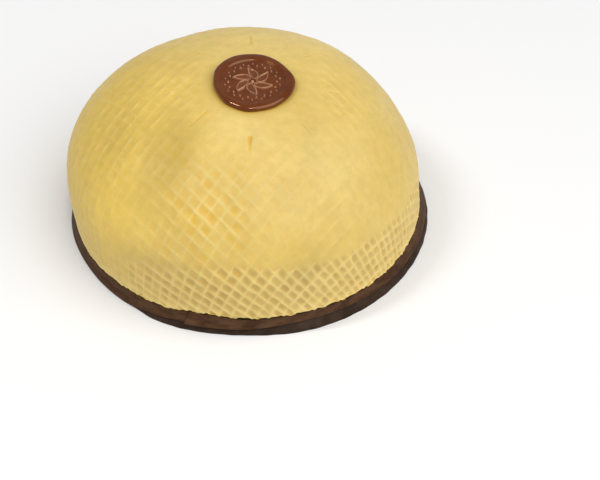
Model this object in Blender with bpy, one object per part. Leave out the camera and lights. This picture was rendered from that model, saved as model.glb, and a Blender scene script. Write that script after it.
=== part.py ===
"""Walnut cream torte, whole: a dome cake under a pale yellow marzipan cover that is embossed with a
waffle lattice, a dark chocolate foot with a ribbon of chocolate laid round it, and a chocolate seal
on the crown.

Metres, +Z up, origin at the middle of the underside. The front of the cake faces -Y.
"""

import functools
import math

import bmesh
import bpy
import numpy as np
from mathutils import Matrix, Vector, geometry

# Dome of the cake under its cover
BELLY_RADIUS = 0.110
BELLY_HEIGHT = 0.040
CROWN_HEIGHT = 0.105
SIDE_POWER, SIDE_SKEW = 2.9, 0.6  # exponent of the radius, and what it gains from the left to the right
CROWN_POWER, CROWN_SKEW = 1.65, -0.5  # exponent of the height, likewise
BELLY_LEAN, CROWN_LEAN = -0.004, 0.002  # sideways sag half way up and at the crown
FOOT_SHIFT = 0.0009  # sideways place of the base
SWELL, SWELL_COUNT = 0.0003, 3  # low, broad unevenness of the dome, waves round
MERIDIAN_STEPS = 120
EASE_PASSES = 24  # rounds of averaging that soften the turn at the belly
SLOPE_STEP = 0.001  # length over which the surface's slope is taken

# Hem of the cover, just above the band
HEM_RADIUS = 0.109
HEM_HEIGHT = 0.012
HEM_SLACK = 0.008  # how far below the hem's mean height the outline is carried on
HEM_POINTS = 180
HEM_LIP = 0.00045  # half the thickness of the cover at its edge
HEM_RAG, HEM_RAG_COUNTS = 0.00028, (37, 61)  # small waves along the hem, waves round
HEM_WANDER = (  # degrees, rise of the hem
    (-165, 0.0), (-150, -0.0016), (-137, -0.0005), (-117, -0.0011), (-105, 0.0016), (-85, -0.0004),
    (-50, -0.0008), (0, 0.0006), (50, -0.0006), (95, 0.0008), (140, -0.0004),
)  # fmt: skip

# Waffle lattice pressed into the cover
LATTICE_SIDE = 0.0080
LATTICE_TURN = math.radians(45)
PIT_DEPTH = 0.0006
PIT_WORN = 0.35  # share of the depth that is left away from the hem
SHARP_REACH, WORN_REACH = 0.020, 0.034  # lengths up from the hem between which the pits fade
POINT_MARGIN = 0.0026  # lattice points keep this far from the hem, the seal and the portion marks

# Portion marks, short radial dents, in the plan of the cover's flat sheet
MARK_CENTRE = Vector((0.001, -0.001))
MARK_START, MARK_END = 0.045, 0.059
MARK_HALF_WIDTH = 0.0022
MARK_DEPTHS = (  # degrees, depth
    (-90, 0.0012), (-47, 0.0005), (-2, 0.0006), (43, 0.0007), (90, 0.0010), (132, 0.0006),
    (178, 0.0005), (-137, 0.0009),
)  # fmt: skip
MARK_SECTIONS = (0.04, 0.35, 0.7)  # shares of the length where the mesh gets a point in the groove

# Seal on the crown
SEAL_RADIUS = 0.0244
SEAL_CENTRE = Vector((0.0013, -0.0018))  # in the plan of the flat sheet
SEAL_THICKNESS = 0.0038
SEAL_TILT = math.radians(2)  # front edge down
SEAL_SIDES = 72
SEAL_WAVES = ((2, 0.012, 0.9), (3, 0.010, 2.4), (5, 0.005, 0.3))  # waves round, share, phase
SEAL_BULGE, BULGE_WIDTH = 0.052, math.radians(30)  # overflow on the right, share of the radius
SEAL_FOOT = 0.94  # the underside's share of the radius
SEAL_PROFILE = (  # share of the radius, height against the top plane
    (1.00, -0.0027), (1.01, -0.0018), (0.985, -0.0009), (0.93, -0.0002), (0.86, 0.0),
    (0.79, -0.0002), (0.745, 0.0001), (0.70, -0.0008), (0.60, -0.0010),
)  # fmt: skip
PETAL_COUNT, PETAL_HEIGHT = 6, 0.0008
PETAL_RINGS = ((0.46, 0.35), (0.34, 1.0), (0.20, 0.6))  # share of the radius, share of the height
BUTTON_RINGS = ((0.12, 0.0), (0.08, 0.7))
SEAT_SIDES, SEAT_MARGIN = 64, 0.0009

# Chocolate band: a foot ring, and a ribbon laid round it
CLEARANCE = 0.0003
BAND_RADIUS = 0.1126
BAND_TOP_RADIUS = 0.1085
BAND_DROP = 0.0011  # how far the ribbon's top stays under the hem
FOOT_DROP = 0.0004  # how far the foot's top stays under the ribbon's
FOOT_THICKNESS = 0.0022
RIBBON_THICKNESS = 0.0011
BAND_WANDER = (  # degrees, bulge at the floor
    (-176, 0.0009), (-150, -0.0006), (-131, -0.0005), (-118, 0.0010), (-92, -0.0007), (-70, 0.0009),
    (-20, -0.0003), (50, 0.0006), (95, -0.0006), (140, 0.0002),
)  # fmt: skip
RIBBON_EDGE = (  # degrees, height of the ribbon's lower edge
    (-150, 0.0003), (-133, 0.0005), (-121, 0.0032), (-112, 0.0048), (-95, 0.0048), (-73, 0.0066),
    (-30, 0.0050), (20, 0.0022), (70, 0.0040), (115, 0.0028), (160, 0.0003),
)  # fmt: skip
BARE_HEIGHT = 0.0030  # the foot bulges fully where the ribbon's edge is this high
FOOT_LEVELS = ((0.0011, 0.45), (0.0023, 0.90))  # least height, share of the ribbon's edge height
FOOT_SIDES = 120
RIBBON_STATIONS = 150
RIBBON_END = math.radians(-107.5)  # where the ribbon's free end shows
RIBBON_OVERLAP = math.radians(12)
RIBBON_EASE = math.radians(34)  # stretch over which the upper end comes down off the lower one
RIBBON_SLANT = math.radians(2.2)  # the free end is cut aslant, its low corner ahead
RIBBON_CURL, CURL_STRETCH = 0.0006, math.radians(7)  # the low corner of the free end stands off
RIBBON_LIP = 0.0003
RIBBON_SECTION = (  # outward share of the thickness, share of the height, lip, curl
    (0.0, 0.0, 0.0, 1.0), (0.0, 1.0, 0.0, 0.0), (0.85, 1.0, 0.0, 0.0), (1.0, 0.93, 0.0, 0.0),
    (1.0, 0.45, 0.0, 0.3), (1.0, 0.12, 1.0, 1.0), (0.8, 0.0, 1.0, 1.0),
)  # fmt: skip

# Colour and roughness
MARZIPAN = ((0.82, 0.66, 0.27), 0.50)
DARK_CHOCOLATE = ((0.034, 0.016, 0.009), 0.38)
RIBBON_CHOCOLATE = ((0.098, 0.050, 0.027), 0.36)
MILK_CHOCOLATE = ((0.165, 0.055, 0.033), 0.24)


def smoothstep(share):
    share = min(1.0, max(0.0, share))
    return share * share * (3 - 2 * share)


def wander(stations, azimuth):
    """Value at this azimuth on the smooth closed curve through the (degrees, value) stations."""
    turn = math.degrees(azimuth)
    for (start, low), (end, high) in zip(stations, stations[1:] + stations[:1]):
        span = (end - start) % 360
        past = (turn - start) % 360
        if past < span:
            return low + (high - low) * smoothstep(past / span)
    return stations[0][1]


def lean(height):
    """Sideways place of the cake's slice at this height."""
    if height < HEM_HEIGHT:
        return FOOT_SHIFT + (lean(HEM_HEIGHT) - FOOT_SHIFT) * height / HEM_HEIGHT
    rise = height / CROWN_HEIGHT
    return CROWN_LEAN * rise**2 + BELLY_LEAN * math.sin(math.pi * rise)


def polar(azimuth, radius, height):
    return Vector((lean(height) + radius * math.cos(azimuth), radius * math.sin(azimuth), height))


@functools.lru_cache(maxsize=None)
def meridian(azimuth):
    """Half outline of the dome from the crown to below the hem, as reach, radius and height.

    The reach is the length along the surface from the crown.
    """
    side = SIDE_POWER + SIDE_SKEW * math.cos(azimuth)
    crown = CROWN_POWER + CROWN_SKEW * math.cos(azimuth)
    angle = np.linspace(0, math.pi / 2, MERIDIAN_STEPS)
    rise = (CROWN_HEIGHT - BELLY_HEIGHT) * np.cos(angle).clip(0) ** (2 / crown)
    below = np.linspace(0, BELLY_HEIGHT - HEM_HEIGHT + HEM_SLACK, MERIDIAN_STEPS)[1:]
    tuck = (BELLY_RADIUS - HEM_RADIUS) * (below / (BELLY_HEIGHT - HEM_HEIGHT)) ** 2
    radius = np.append(BELLY_RADIUS * np.sin(angle) ** (2 / side), BELLY_RADIUS - tuck)
    height = np.append(BELLY_HEIGHT + rise, BELLY_HEIGHT - below)

    reach = travel(radius, height)
    even = np.linspace(0, reach[-1], MERIDIAN_STEPS)
    radius = np.interp(even, reach, radius)
    height = np.interp(even, reach, height)
    for _ in range(EASE_PASSES):
        for line in (radius, height):
            line[1:-1] = (line[:-2] + 2 * line[1:-1] + line[2:]) / 4
    return travel(radius, height), radius, height


def travel(radius, height):
    """Length along an outline up to each of its points."""
    return np.append(0, np.cumsum(np.hypot(np.diff(radius), np.diff(height))))


def hem_height(azimuth):
    return HEM_HEIGHT + wander(HEM_WANDER, azimuth)


@functools.lru_cache(maxsize=None)
def hem_reach(azimuth):
    """Length of the cover from the crown to its ragged hem."""
    reach, _, height = meridian(azimuth)
    rag = HEM_RAG * sum(math.sin(count * azimuth) for count in HEM_RAG_COUNTS)
    return float(np.interp(-hem_height(azimuth), -height, reach)) + rag


def on_dome(azimuth, reach, sink=0.0):
    """Point of the dome at a length along its surface from the crown, sunk into the surface."""
    swell = SWELL * math.sin(SWELL_COUNT * azimuth) * math.sin(math.pi * reach / hem_reach(azimuth))
    places, radii, heights = meridian(azimuth)
    before, radius, after = np.interp([reach - SLOPE_STEP, reach, reach + SLOPE_STEP], places, radii)
    above, height, below = np.interp([reach - SLOPE_STEP, reach, reach + SLOPE_STEP], places, heights)
    slope = Vector((after - before, below - above)).normalized()
    return polar(azimuth, radius + slope.y * (sink - swell), height - slope.x * (sink - swell))


def lattice_pit(azimuth, reach):
    """Share of the pits' depth here: none on the lines of the lattice, all of it mid-cell."""
    across = reach * math.cos(azimuth - LATTICE_TURN) / LATTICE_SIDE
    along = reach * math.sin(azimuth - LATTICE_TURN) / LATTICE_SIDE
    return 2 * min(abs(across - round(across)), abs(along - round(along)))


def worn_depth(azimuth, reach):
    """Depth of the pits, which are sharp near the hem and worn above it."""
    above_hem = hem_reach(azimuth) - reach
    fade = smoothstep((above_hem - SHARP_REACH) / (WORN_REACH - SHARP_REACH))
    return PIT_DEPTH * (1 - (1 - PIT_WORN) * fade)


def portion_marks():
    """Each mark as its inner end, its direction and its depth."""
    for degrees, depth in MARK_DEPTHS:
        direction = Vector((math.cos(math.radians(degrees)), math.sin(math.radians(degrees))))
        yield MARK_CENTRE + direction * MARK_START, direction, depth


def mark_dent(plan):
    """Depth of the portion marks at a point of the flat sheet."""
    for start, direction, depth in portion_marks():
        along = (plan - start).dot(direction) / (MARK_END - MARK_START)
        across = abs((plan - start).cross(direction)) / MARK_HALF_WIDTH
        if 0 <= along <= 1 and across < 1:
            return depth * (1 - across) * (1 - along)
    return 0.0


def near_mark(plan):
    for start, direction, _ in portion_marks():
        along = min(MARK_END - MARK_START, max(0.0, (plan - start).dot(direction)))
        if (plan - start - direction * along).length < POINT_MARGIN:
            return True
    return False


def seal_reach(turn):
    """Radius of the seal's uneven outline at this angle round its centre."""
    waves = sum(share * math.sin(count * turn + phase) for count, share, phase in SEAL_WAVES)
    from_right = (turn + math.pi) % math.tau - math.pi
    return SEAL_RADIUS * (1 + waves + SEAL_BULGE * math.exp(-((from_right / BULGE_WIDTH) ** 2)))


def seal_plan(turn, share, margin=0.0):
    """Plan point at a share of the way from the seal's centre to its outline, plus a margin."""
    reach = seal_reach(turn) * share + margin
    return SEAL_CENTRE + Vector((math.cos(turn), math.sin(turn))) * reach


def under_seal(plan):
    offset = plan - SEAL_CENTRE
    return offset.length < seal_reach(math.atan2(offset.y, offset.x)) + SEAT_MARGIN + POINT_MARGIN


def on_cover(plan):
    """Point of the cover over a point of its flat sheet, with the lattice and the marks."""
    azimuth = math.atan2(plan.y, plan.x)
    reach = plan.length
    relief = worn_depth(azimuth, reach) * lattice_pit(azimuth, reach)
    return on_dome(azimuth, reach, relief + mark_dent(plan))


def on_crown(plan):
    """Point of the smooth crown over a point of the flat sheet."""
    return on_dome(math.atan2(plan.y, plan.x), plan.length)


def ring_edges(first, count):
    return [(first + index, first + (index + 1) % count) for index in range(count)]


def lattice_points():
    """Crossings and mid-cell points of the lattice, by half cell, clear of all that needs its own."""
    reach = int(math.pi * BELLY_RADIUS / LATTICE_SIDE) * 2
    points = {}
    for row in range(-reach, reach + 1):
        for column in range(-reach, reach + 1):
            if row % 2 != column % 2:
                continue
            plan = Vector((column, row)) * LATTICE_SIDE / 2
            plan.rotate(Matrix.Rotation(LATTICE_TURN, 2))
            inside = plan.length < hem_reach(math.atan2(plan.y, plan.x)) - POINT_MARGIN
            if inside and not under_seal(plan) and not near_mark(plan):
                points[column, row] = plan
    return points


def cover_plan():
    """The flat sheet's plan points and the edges that its triangles must keep. The hem comes first."""
    hem_turns = [math.tau * index / HEM_POINTS for index in range(HEM_POINTS)]
    points = [Vector((math.cos(turn), math.sin(turn))) * hem_reach(turn) for turn in hem_turns]
    edges = ring_edges(0, HEM_POINTS)

    edges += ring_edges(len(points), SEAT_SIDES)
    seat_turns = [math.tau * index / SEAT_SIDES for index in range(SEAT_SIDES)]
    points += [seal_plan(turn, 1, SEAT_MARGIN) for turn in seat_turns]
    points.append(SEAL_CENTRE)

    for start, direction, _ in portion_marks():
        length = MARK_END - MARK_START
        aside = Vector((-direction.y, direction.x)) * MARK_HALF_WIDTH
        edges += [(len(points), len(points) + 1), (len(points) + 1, len(points) + 2)]
        points += [start + direction * length * share for share in MARK_SECTIONS]
        points += [start, start + direction * length]
        for share in MARK_SECTIONS[:-1]:
            points += [start + direction * length * share + side for side in (aside, -aside)]

    lattice = lattice_points()
    number = {key: len(points) + index for index, key in enumerate(lattice)}
    points += lattice.values()
    for column, row in lattice:
        for ahead in ((column + 2, row), (column, row + 2)):
            if column % 2 == 0 and ahead in number:
                edges.append((number[column, row], number[ahead]))
    return points, edges


def extrude_loop(mesh, edges, place):
    """Extrude a loop of edges, put each new vertex where place says, and return the new loop."""
    grown = bmesh.ops.extrude_edge_only(mesh, edges=edges)["geom"]
    fresh = {item for item in grown if isinstance(item, bmesh.types.BMVert)}
    for vertex in fresh:
        vertex.co = place(vertex)
    return [item for item in grown if isinstance(item, bmesh.types.BMEdge) and fresh.issuperset(item.verts)]


def wall_radius(height):
    """Radius of the cake's own wall behind the band."""
    band = RIBBON_THICKNESS + FOOT_THICKNESS + 2 * CLEARANCE
    return BAND_RADIUS + (BAND_TOP_RADIUS - BAND_RADIUS) * height / HEM_HEIGHT - band - CLEARANCE


def band_face(azimuth, height):
    """Radius of the band's outer face."""
    bulge = wander(BAND_WANDER, azimuth) * (1 - height / HEM_HEIGHT)
    return BAND_RADIUS + (BAND_TOP_RADIUS - BAND_RADIUS) * height / HEM_HEIGHT + bulge


def build_torte():
    """The cake in its cover: the flat sheet laid over the dome, the tucked hem, the wall, the floor."""
    points, edges = cover_plan()
    sheet = geometry.delaunay_2d_cdt(points, edges, [list(range(HEM_POINTS))], 1, 1e-7)
    mesh = bmesh.new()
    turn = mesh.verts.layers.float.new("turn")
    for plan, sources in zip(sheet[0], sheet[3]):
        seat = any(HEM_POINTS <= source <= HEM_POINTS + SEAT_SIDES for source in sources)
        vertex = mesh.verts.new(on_crown(plan) if seat else on_cover(plan))
        vertex[turn] = math.atan2(plan.y, plan.x)
    mesh.verts.ensure_lookup_table()
    for corners in sheet[2]:
        mesh.faces.new([mesh.verts[corner] for corner in corners])

    def lip(vertex):
        height = vertex.co.z - HEM_LIP
        return polar(vertex[turn], HEM_RADIUS - HEM_LIP, height)

    def underside(vertex):
        height = hem_height(vertex[turn]) - HEM_LIP
        return polar(vertex[turn], wall_radius(height), height)

    def wall_foot(vertex):
        return polar(vertex[turn], wall_radius(0), 0)

    def floor_ring(vertex):
        return polar(vertex[turn], wall_radius(0) * 2 / 3, 0)

    rim = [edge for edge in mesh.edges if edge.is_boundary]
    for place in (lip, underside, wall_foot, floor_ring):
        rim = extrude_loop(mesh, rim, place)
    bmesh.ops.edgeloop_fill(mesh, edges=rim)
    return mesh


def build_foot():
    """The dark foot ring, which bulges out where the ribbon leaves it bare."""
    mesh = bmesh.new()
    turn = mesh.verts.layers.float.new("turn")
    ring = bmesh.ops.create_circle(mesh, segments=FOOT_SIDES, radius=1)["verts"]

    def outer(vertex, height):
        azimuth = vertex[turn]
        edge = wander(RIBBON_EDGE, azimuth)
        bare = smoothstep(edge / BARE_HEIGHT) * max(0.0, 1 - height / (FOOT_LEVELS[-1][1] * edge))
        return polar(azimuth, band_face(azimuth, height) - (RIBBON_THICKNESS + CLEARANCE) * (1 - bare), height)

    def level(least, share):
        return lambda vertex: outer(vertex, max(least, share * wander(RIBBON_EDGE, vertex[turn])))

    def top_height(vertex):
        return hem_height(vertex[turn]) - BAND_DROP - FOOT_DROP

    def inner(vertex, height):
        return polar(vertex[turn], wall_radius(height) + CLEARANCE, height)

    for vertex in ring:
        vertex[turn] = math.atan2(vertex.co.y, vertex.co.x)
        vertex.co = outer(vertex, 0)
    start = loop = mesh.edges[:]
    for least, share in FOOT_LEVELS:
        loop = extrude_loop(mesh, loop, level(least, share))
    loop = extrude_loop(mesh, loop, lambda vertex: outer(vertex, top_height(vertex)))
    loop = extrude_loop(mesh, loop, lambda vertex: inner(vertex, top_height(vertex)))
    loop = extrude_loop(mesh, loop, lambda vertex: inner(vertex, 0))
    bmesh.ops.bridge_loops(mesh, edges=start + loop)
    return mesh


def build_ribbon():
    """The ribbon round the foot: it starts under its own free end, which is cut aslant and curls off."""
    mesh = bmesh.new()
    corner = mesh.verts.layers.int.new("corner")

    def place(index, past):
        outward, up, lip, curl = RIBBON_SECTION[index]
        azimuth = RIBBON_END + past
        edge = wander(RIBBON_EDGE, azimuth)
        height = edge + (hem_height(azimuth) - BAND_DROP - edge) * up
        climb = (RIBBON_THICKNESS + CLEARANCE) * (1 - smoothstep((past - RIBBON_OVERLAP) / RIBBON_EASE))
        free = 1 - smoothstep(past / CURL_STRETCH)
        radius = band_face(azimuth, height) + climb + RIBBON_THICKNESS * (outward - 1)
        radius += RIBBON_LIP * lip + RIBBON_CURL * curl * free
        return polar(azimuth - RIBBON_SLANT * (1 - up) * free, radius, height)

    for index in range(len(RIBBON_SECTION)):
        mesh.verts.new(place(index, 0))[corner] = index
    start = mesh.faces.new(mesh.verts)
    loop = start.edges[:]
    for station in range(1, RIBBON_STATIONS + 1):
        past = (math.tau + RIBBON_OVERLAP) * station / RIBBON_STATIONS
        loop = extrude_loop(mesh, loop, lambda vertex: place(vertex[corner], past))
    bmesh.ops.edgeloop_fill(mesh, edges=loop)
    return mesh


def build_seal():
    """The poured seal: an uneven rim that overflows on the right, a pressed field and a rosette."""
    mesh = bmesh.new()
    turn = mesh.verts.layers.float.new("turn")
    disc = bmesh.ops.create_circle(mesh, cap_ends=True, cap_tris=True, segments=SEAL_SIDES, radius=1)
    top = CROWN_HEIGHT + SEAL_THICKNESS

    def underside(share, vertex):
        return on_crown(seal_plan(vertex[turn], share)) + Vector((0, 0, CLEARANCE))

    def face(share, height, vertex):
        plan = seal_plan(vertex[turn], share)
        tilt = math.tan(SEAL_TILT) * (plan.y - SEAL_CENTRE.y)
        return Vector((plan.x + CROWN_LEAN, plan.y, top + tilt + height))

    def petal(vertex):
        return PETAL_HEIGHT * max(0.0, math.cos(PETAL_COUNT * vertex[turn]))

    for vertex in disc["verts"]:
        rim_share = SEAL_FOOT if vertex.co.length > 0.5 else 0.0
        vertex[turn] = math.atan2(vertex.co.y, vertex.co.x)
        vertex.co = underside(rim_share, vertex)
    loop = [edge for edge in mesh.edges if edge.is_boundary]
    for share, height in SEAL_PROFILE:
        loop = extrude_loop(mesh, loop, lambda vertex: face(share, height, vertex))
    field = SEAL_PROFILE[-1][1]
    for share, rise in PETAL_RINGS:
        loop = extrude_loop(mesh, loop, lambda vertex: face(share, field + rise * petal(vertex), vertex))
    for share, rise in BUTTON_RINGS:
        loop = extrude_loop(mesh, loop, lambda vertex: face(share, field + rise * PETAL_HEIGHT, vertex))
    bmesh.ops.edgeloop_fill(mesh, edges=loop)
    return mesh


def make_material(name, finish):
    colour, roughness = finish
    material = bpy.data.materials.new(name)
    material.use_nodes = True
    shader = material.node_tree.nodes["Principled BSDF"]
    shader.inputs["Base Color"].default_value = (*colour, 1)
    shader.inputs["Roughness"].default_value = roughness
    shader.inputs["Metallic"].default_value = 0
    return material


def add_part(name, mesh, material, sharp_angle):
    """Turn the built mesh into a named object, faces outwards, shaded smooth up to the angle."""
    bmesh.ops.recalc_face_normals(mesh, faces=mesh.faces)
    data = bpy.data.meshes.new(name)
    mesh.to_mesh(data)
    mesh.free()
    data.shade_smooth()
    data.set_sharp_from_angle(angle=math.radians(sharp_angle))
    data.materials.append(material)
    bpy.context.collection.objects.link(bpy.data.objects.new(name, data))


def main():
    for leftover in list(bpy.data.objects):
        bpy.data.objects.remove(leftover, do_unlink=True)
    add_part("torte_body", build_torte(), make_material("marzipan", MARZIPAN), 40)
    add_part("band_foot", build_foot(), make_material("dark_chocolate", DARK_CHOCOLATE), 40)
    add_part("band_ribbon", build_ribbon(), make_material("ribbon_chocolate", RIBBON_CHOCOLATE), 40)
    add_part("crown_seal", build_seal(), make_material("milk_chocolate", MILK_CHOCOLATE), 50)


main()
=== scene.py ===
"""Walnut cream torte, whole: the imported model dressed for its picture.

The cake is a dome under rolled marzipan that is pressed with a waffle lattice. A foot of dark
chocolate and a ribbon of chocolate go round its base, and a poured chocolate seal lies on its crown.
Metres, +Z up, the front of the cake faces -Y.
"""

import logging
import math
from dataclasses import dataclass, field
from enum import Enum
from typing import Callable, Sequence

import bmesh
import bpy
import numpy as np
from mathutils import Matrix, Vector


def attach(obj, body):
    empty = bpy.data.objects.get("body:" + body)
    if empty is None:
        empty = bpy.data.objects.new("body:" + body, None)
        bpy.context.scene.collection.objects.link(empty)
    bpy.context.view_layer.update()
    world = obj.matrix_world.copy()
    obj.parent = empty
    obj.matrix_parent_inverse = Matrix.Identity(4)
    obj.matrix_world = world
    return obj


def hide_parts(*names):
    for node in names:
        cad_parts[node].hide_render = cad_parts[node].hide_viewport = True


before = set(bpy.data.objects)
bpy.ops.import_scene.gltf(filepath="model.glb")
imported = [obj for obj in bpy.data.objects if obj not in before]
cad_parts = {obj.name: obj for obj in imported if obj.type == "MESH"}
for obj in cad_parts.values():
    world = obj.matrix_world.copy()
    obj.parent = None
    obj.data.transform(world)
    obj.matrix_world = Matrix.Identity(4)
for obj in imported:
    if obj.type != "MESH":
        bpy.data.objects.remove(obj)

Array = np.ndarray
Colour = tuple[float, float, float]

logging.basicConfig(level=logging.INFO, format="%(name)s: %(message)s")
LOG = logging.getLogger("torte")
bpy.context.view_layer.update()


# ---------------------------------------------------------------------------------------------
# Curves and fields
# ---------------------------------------------------------------------------------------------


def smoothstep(share: Array) -> Array:
    """Ease from 0 to 1 over shares from 0 to 1."""
    share = np.clip(share, 0.0, 1.0)
    return share * share * (3 - 2 * share)


def bell(distance: Array, spread: float) -> Array:
    """Gaussian bell of a distance, 1 at its middle."""
    return np.exp(-((distance / spread) ** 2))


def polar_plan(azimuth: Array, reach: Array) -> Array:
    """Plan points, one to a row, from their azimuths and reaches."""
    return np.stack([reach * np.cos(azimuth), reach * np.sin(azimuth)], axis=-1)


@dataclass(frozen=True)
class Wander:
    """A smooth closed curve through (degrees, value) stations round the cake."""

    stations: tuple[tuple[float, float], ...]

    def at(self, azimuth: Array) -> Array:
        """Value of the curve.

        Args:
            azimuth: angles round the cake, in radians.

        Returns:
            The value at each angle.
        """
        turns = np.array([turn for turn, _ in self.stations])
        values = np.array([value for _, value in self.stations])
        offsets = turns - turns[0]
        spans = np.append(np.diff(offsets), 360 - offsets[-1])
        past = (np.degrees(azimuth) - turns[0]) % 360
        index = np.searchsorted(offsets, past, side="right") - 1
        low, high = values[index], np.roll(values, -1)[index]
        return low + (high - low) * smoothstep((past - offsets[index]) / spans[index])


@dataclass(frozen=True)
class SoftNoise:
    """Smooth seeded noise over the plane: cosines of many directions, about -1 to 1."""

    seed: int
    length: float
    waves: int = 14

    def at(self, plan: Array) -> Array:
        """Value of the noise.

        Args:
            plan: points, one to a row.

        Returns:
            One value for each point.
        """
        rng = np.random.default_rng(self.seed)
        turns = rng.uniform(0, math.tau, self.waves)
        rates = math.tau / self.length * rng.uniform(0.6, 1.4, self.waves)
        phases = rng.uniform(0, math.tau, self.waves)
        total = np.zeros(len(plan))
        for turn, rate, phase in zip(turns, rates, phases):
            total += np.cos(rate * (plan[:, 0] * math.cos(turn) + plan[:, 1] * math.sin(turn)) + phase)
        return total / math.sqrt(self.waves)


# ---------------------------------------------------------------------------------------------
# The form that all the pieces share
# ---------------------------------------------------------------------------------------------


@dataclass
class DomeForm:
    """The cake's outer form: a dome with a belly, leaning a little, and the hem of its cover."""

    belly_radius: float = 0.110
    belly_height: float = 0.040
    crown_height: float = 0.105
    side_power: float = 2.9
    side_skew: float = 0.6
    crown_power: float = 1.65
    crown_skew: float = -0.5
    belly_lean: float = -0.004
    crown_lean: float = 0.002
    foot_shift: float = 0.0009
    swell: float = 0.0003
    swell_count: int = 3
    meridian_steps: int = 120
    ease_passes: int = 24
    slope_step: float = 0.001
    hem_radius: float = 0.109
    hem_height: float = 0.012
    hem_slack: float = 0.008
    hem_rag: float = 0.00032
    hem_rag_counts: tuple[int, ...] = (37, 61)
    hem_nick: float = 0.00017
    hem_nick_counts: tuple[int, ...] = (97, 139, 173, 211)
    hem_wander: Wander = Wander(
        ((-165, 0.0), (-150, -0.0016), (-137, -0.0005), (-117, -0.0011), (-105, 0.0016), (-85, -0.0004),
         (-50, -0.0008), (0, 0.0006), (50, -0.0006), (95, 0.0008), (140, -0.0004))
    )  # fmt: skip
    meridians: int = 720
    table_steps: int = 420
    azimuths: Array = field(init=False, repr=False)
    reaches: Array = field(init=False, repr=False)
    radii: Array = field(init=False, repr=False)
    heights: Array = field(init=False, repr=False)
    hem_reaches: Array = field(init=False, repr=False)

    def __post_init__(self) -> None:
        """Tabulate the meridians all round the cake."""
        self.azimuths = np.linspace(-math.pi, math.pi, self.meridians + 1)
        outlines = [self.outline(azimuth) for azimuth in self.azimuths]
        self.reaches = np.linspace(0, max(reach[-1] for reach, _, _ in outlines), self.table_steps)
        self.radii = np.array([np.interp(self.reaches, reach, radius) for reach, radius, _ in outlines])
        self.heights = np.array([np.interp(self.reaches, reach, height) for reach, _, height in outlines])
        hems = self.hem_height + self.hem_wander.at(self.azimuths)
        self.hem_reaches = np.array(
            [np.interp(-hem, -height, reach) for hem, (reach, _, height) in zip(hems, outlines)]
        )

    def outline(self, azimuth: float) -> tuple[Array, Array, Array]:
        """Half outline of the dome from the crown to below the hem.

        Args:
            azimuth: angle round the cake.

        Returns:
            Reach along the surface from the crown, radius and height at each step.
        """
        side = self.side_power + self.side_skew * math.cos(azimuth)
        crown = self.crown_power + self.crown_skew * math.cos(azimuth)
        angle = np.linspace(0, math.pi / 2, self.meridian_steps)
        rise = (self.crown_height - self.belly_height) * np.cos(angle).clip(0) ** (2 / crown)
        drop = self.belly_height - self.hem_height
        below = np.linspace(0, drop + self.hem_slack, self.meridian_steps)[1:]
        tuck = (self.belly_radius - self.hem_radius) * (below / drop) ** 2
        radius = np.append(self.belly_radius * np.sin(angle) ** (2 / side), self.belly_radius - tuck)
        height = np.append(self.belly_height + rise, self.belly_height - below)
        reach = self.travel(radius, height)
        even = np.linspace(0, reach[-1], self.meridian_steps)
        radius, height = np.interp(even, reach, radius), np.interp(even, reach, height)
        for _ in range(self.ease_passes):
            for line in (radius, height):
                line[1:-1] = (line[:-2] + 2 * line[1:-1] + line[2:]) / 4
        return self.travel(radius, height), radius, height

    @staticmethod
    def travel(radius: Array, height: Array) -> Array:
        """Length along an outline up to each of its points."""
        return np.append(0, np.cumsum(np.hypot(np.diff(radius), np.diff(height))))

    def lean(self, height: Array) -> Array:
        """Sideways place of the cake's slice at each height."""
        rise = height / self.crown_height
        above = self.crown_lean * rise**2 + self.belly_lean * np.sin(math.pi * rise)
        hem_rise = self.hem_height / self.crown_height
        at_hem = self.crown_lean * hem_rise**2 + self.belly_lean * math.sin(math.pi * hem_rise)
        below = self.foot_shift + (at_hem - self.foot_shift) * height / self.hem_height
        return np.where(height < self.hem_height, below, above)

    def polar(self, azimuth: Array, radius: Array, height: Array) -> Array:
        """Points at an azimuth, a radius and a height of the leaning cake, one to a row."""
        azimuth, radius, height = np.broadcast_arrays(azimuth, radius, height)
        return np.stack(
            [self.lean(height) + radius * np.cos(azimuth), radius * np.sin(azimuth), height], axis=-1
        )

    def rim_height(self, azimuth: Array) -> Array:
        """Height of the cover's hem."""
        return self.hem_height + self.hem_wander.at(azimuth)

    def rim_reach(self, azimuth: Array) -> Array:
        """Length of the cover from the crown to its ragged hem."""
        rag = sum(np.sin(count * azimuth) for count in self.hem_rag_counts)
        nick = sum(np.sin(count * azimuth + count) for count in self.hem_nick_counts)
        smooth = np.interp(azimuth, self.azimuths, self.hem_reaches)
        return smooth + self.hem_rag * rag + self.hem_nick * nick

    def look_up(self, table: Array, azimuth: Array, reach: Array) -> Array:
        """Value of a meridian table between its entries."""
        across = (azimuth + math.pi) / math.tau * self.meridians
        column = np.clip(across.astype(int), 0, self.meridians - 1)
        down = np.clip(reach / self.reaches[1], 0, self.table_steps - 1.000001)
        row = down.astype(int)
        side, fall = across - column, down - row
        near = table[column, row] * (1 - fall) + table[column, row + 1] * fall
        far = table[column + 1, row] * (1 - fall) + table[column + 1, row + 1] * fall
        return near * (1 - side) + far * side

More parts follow.
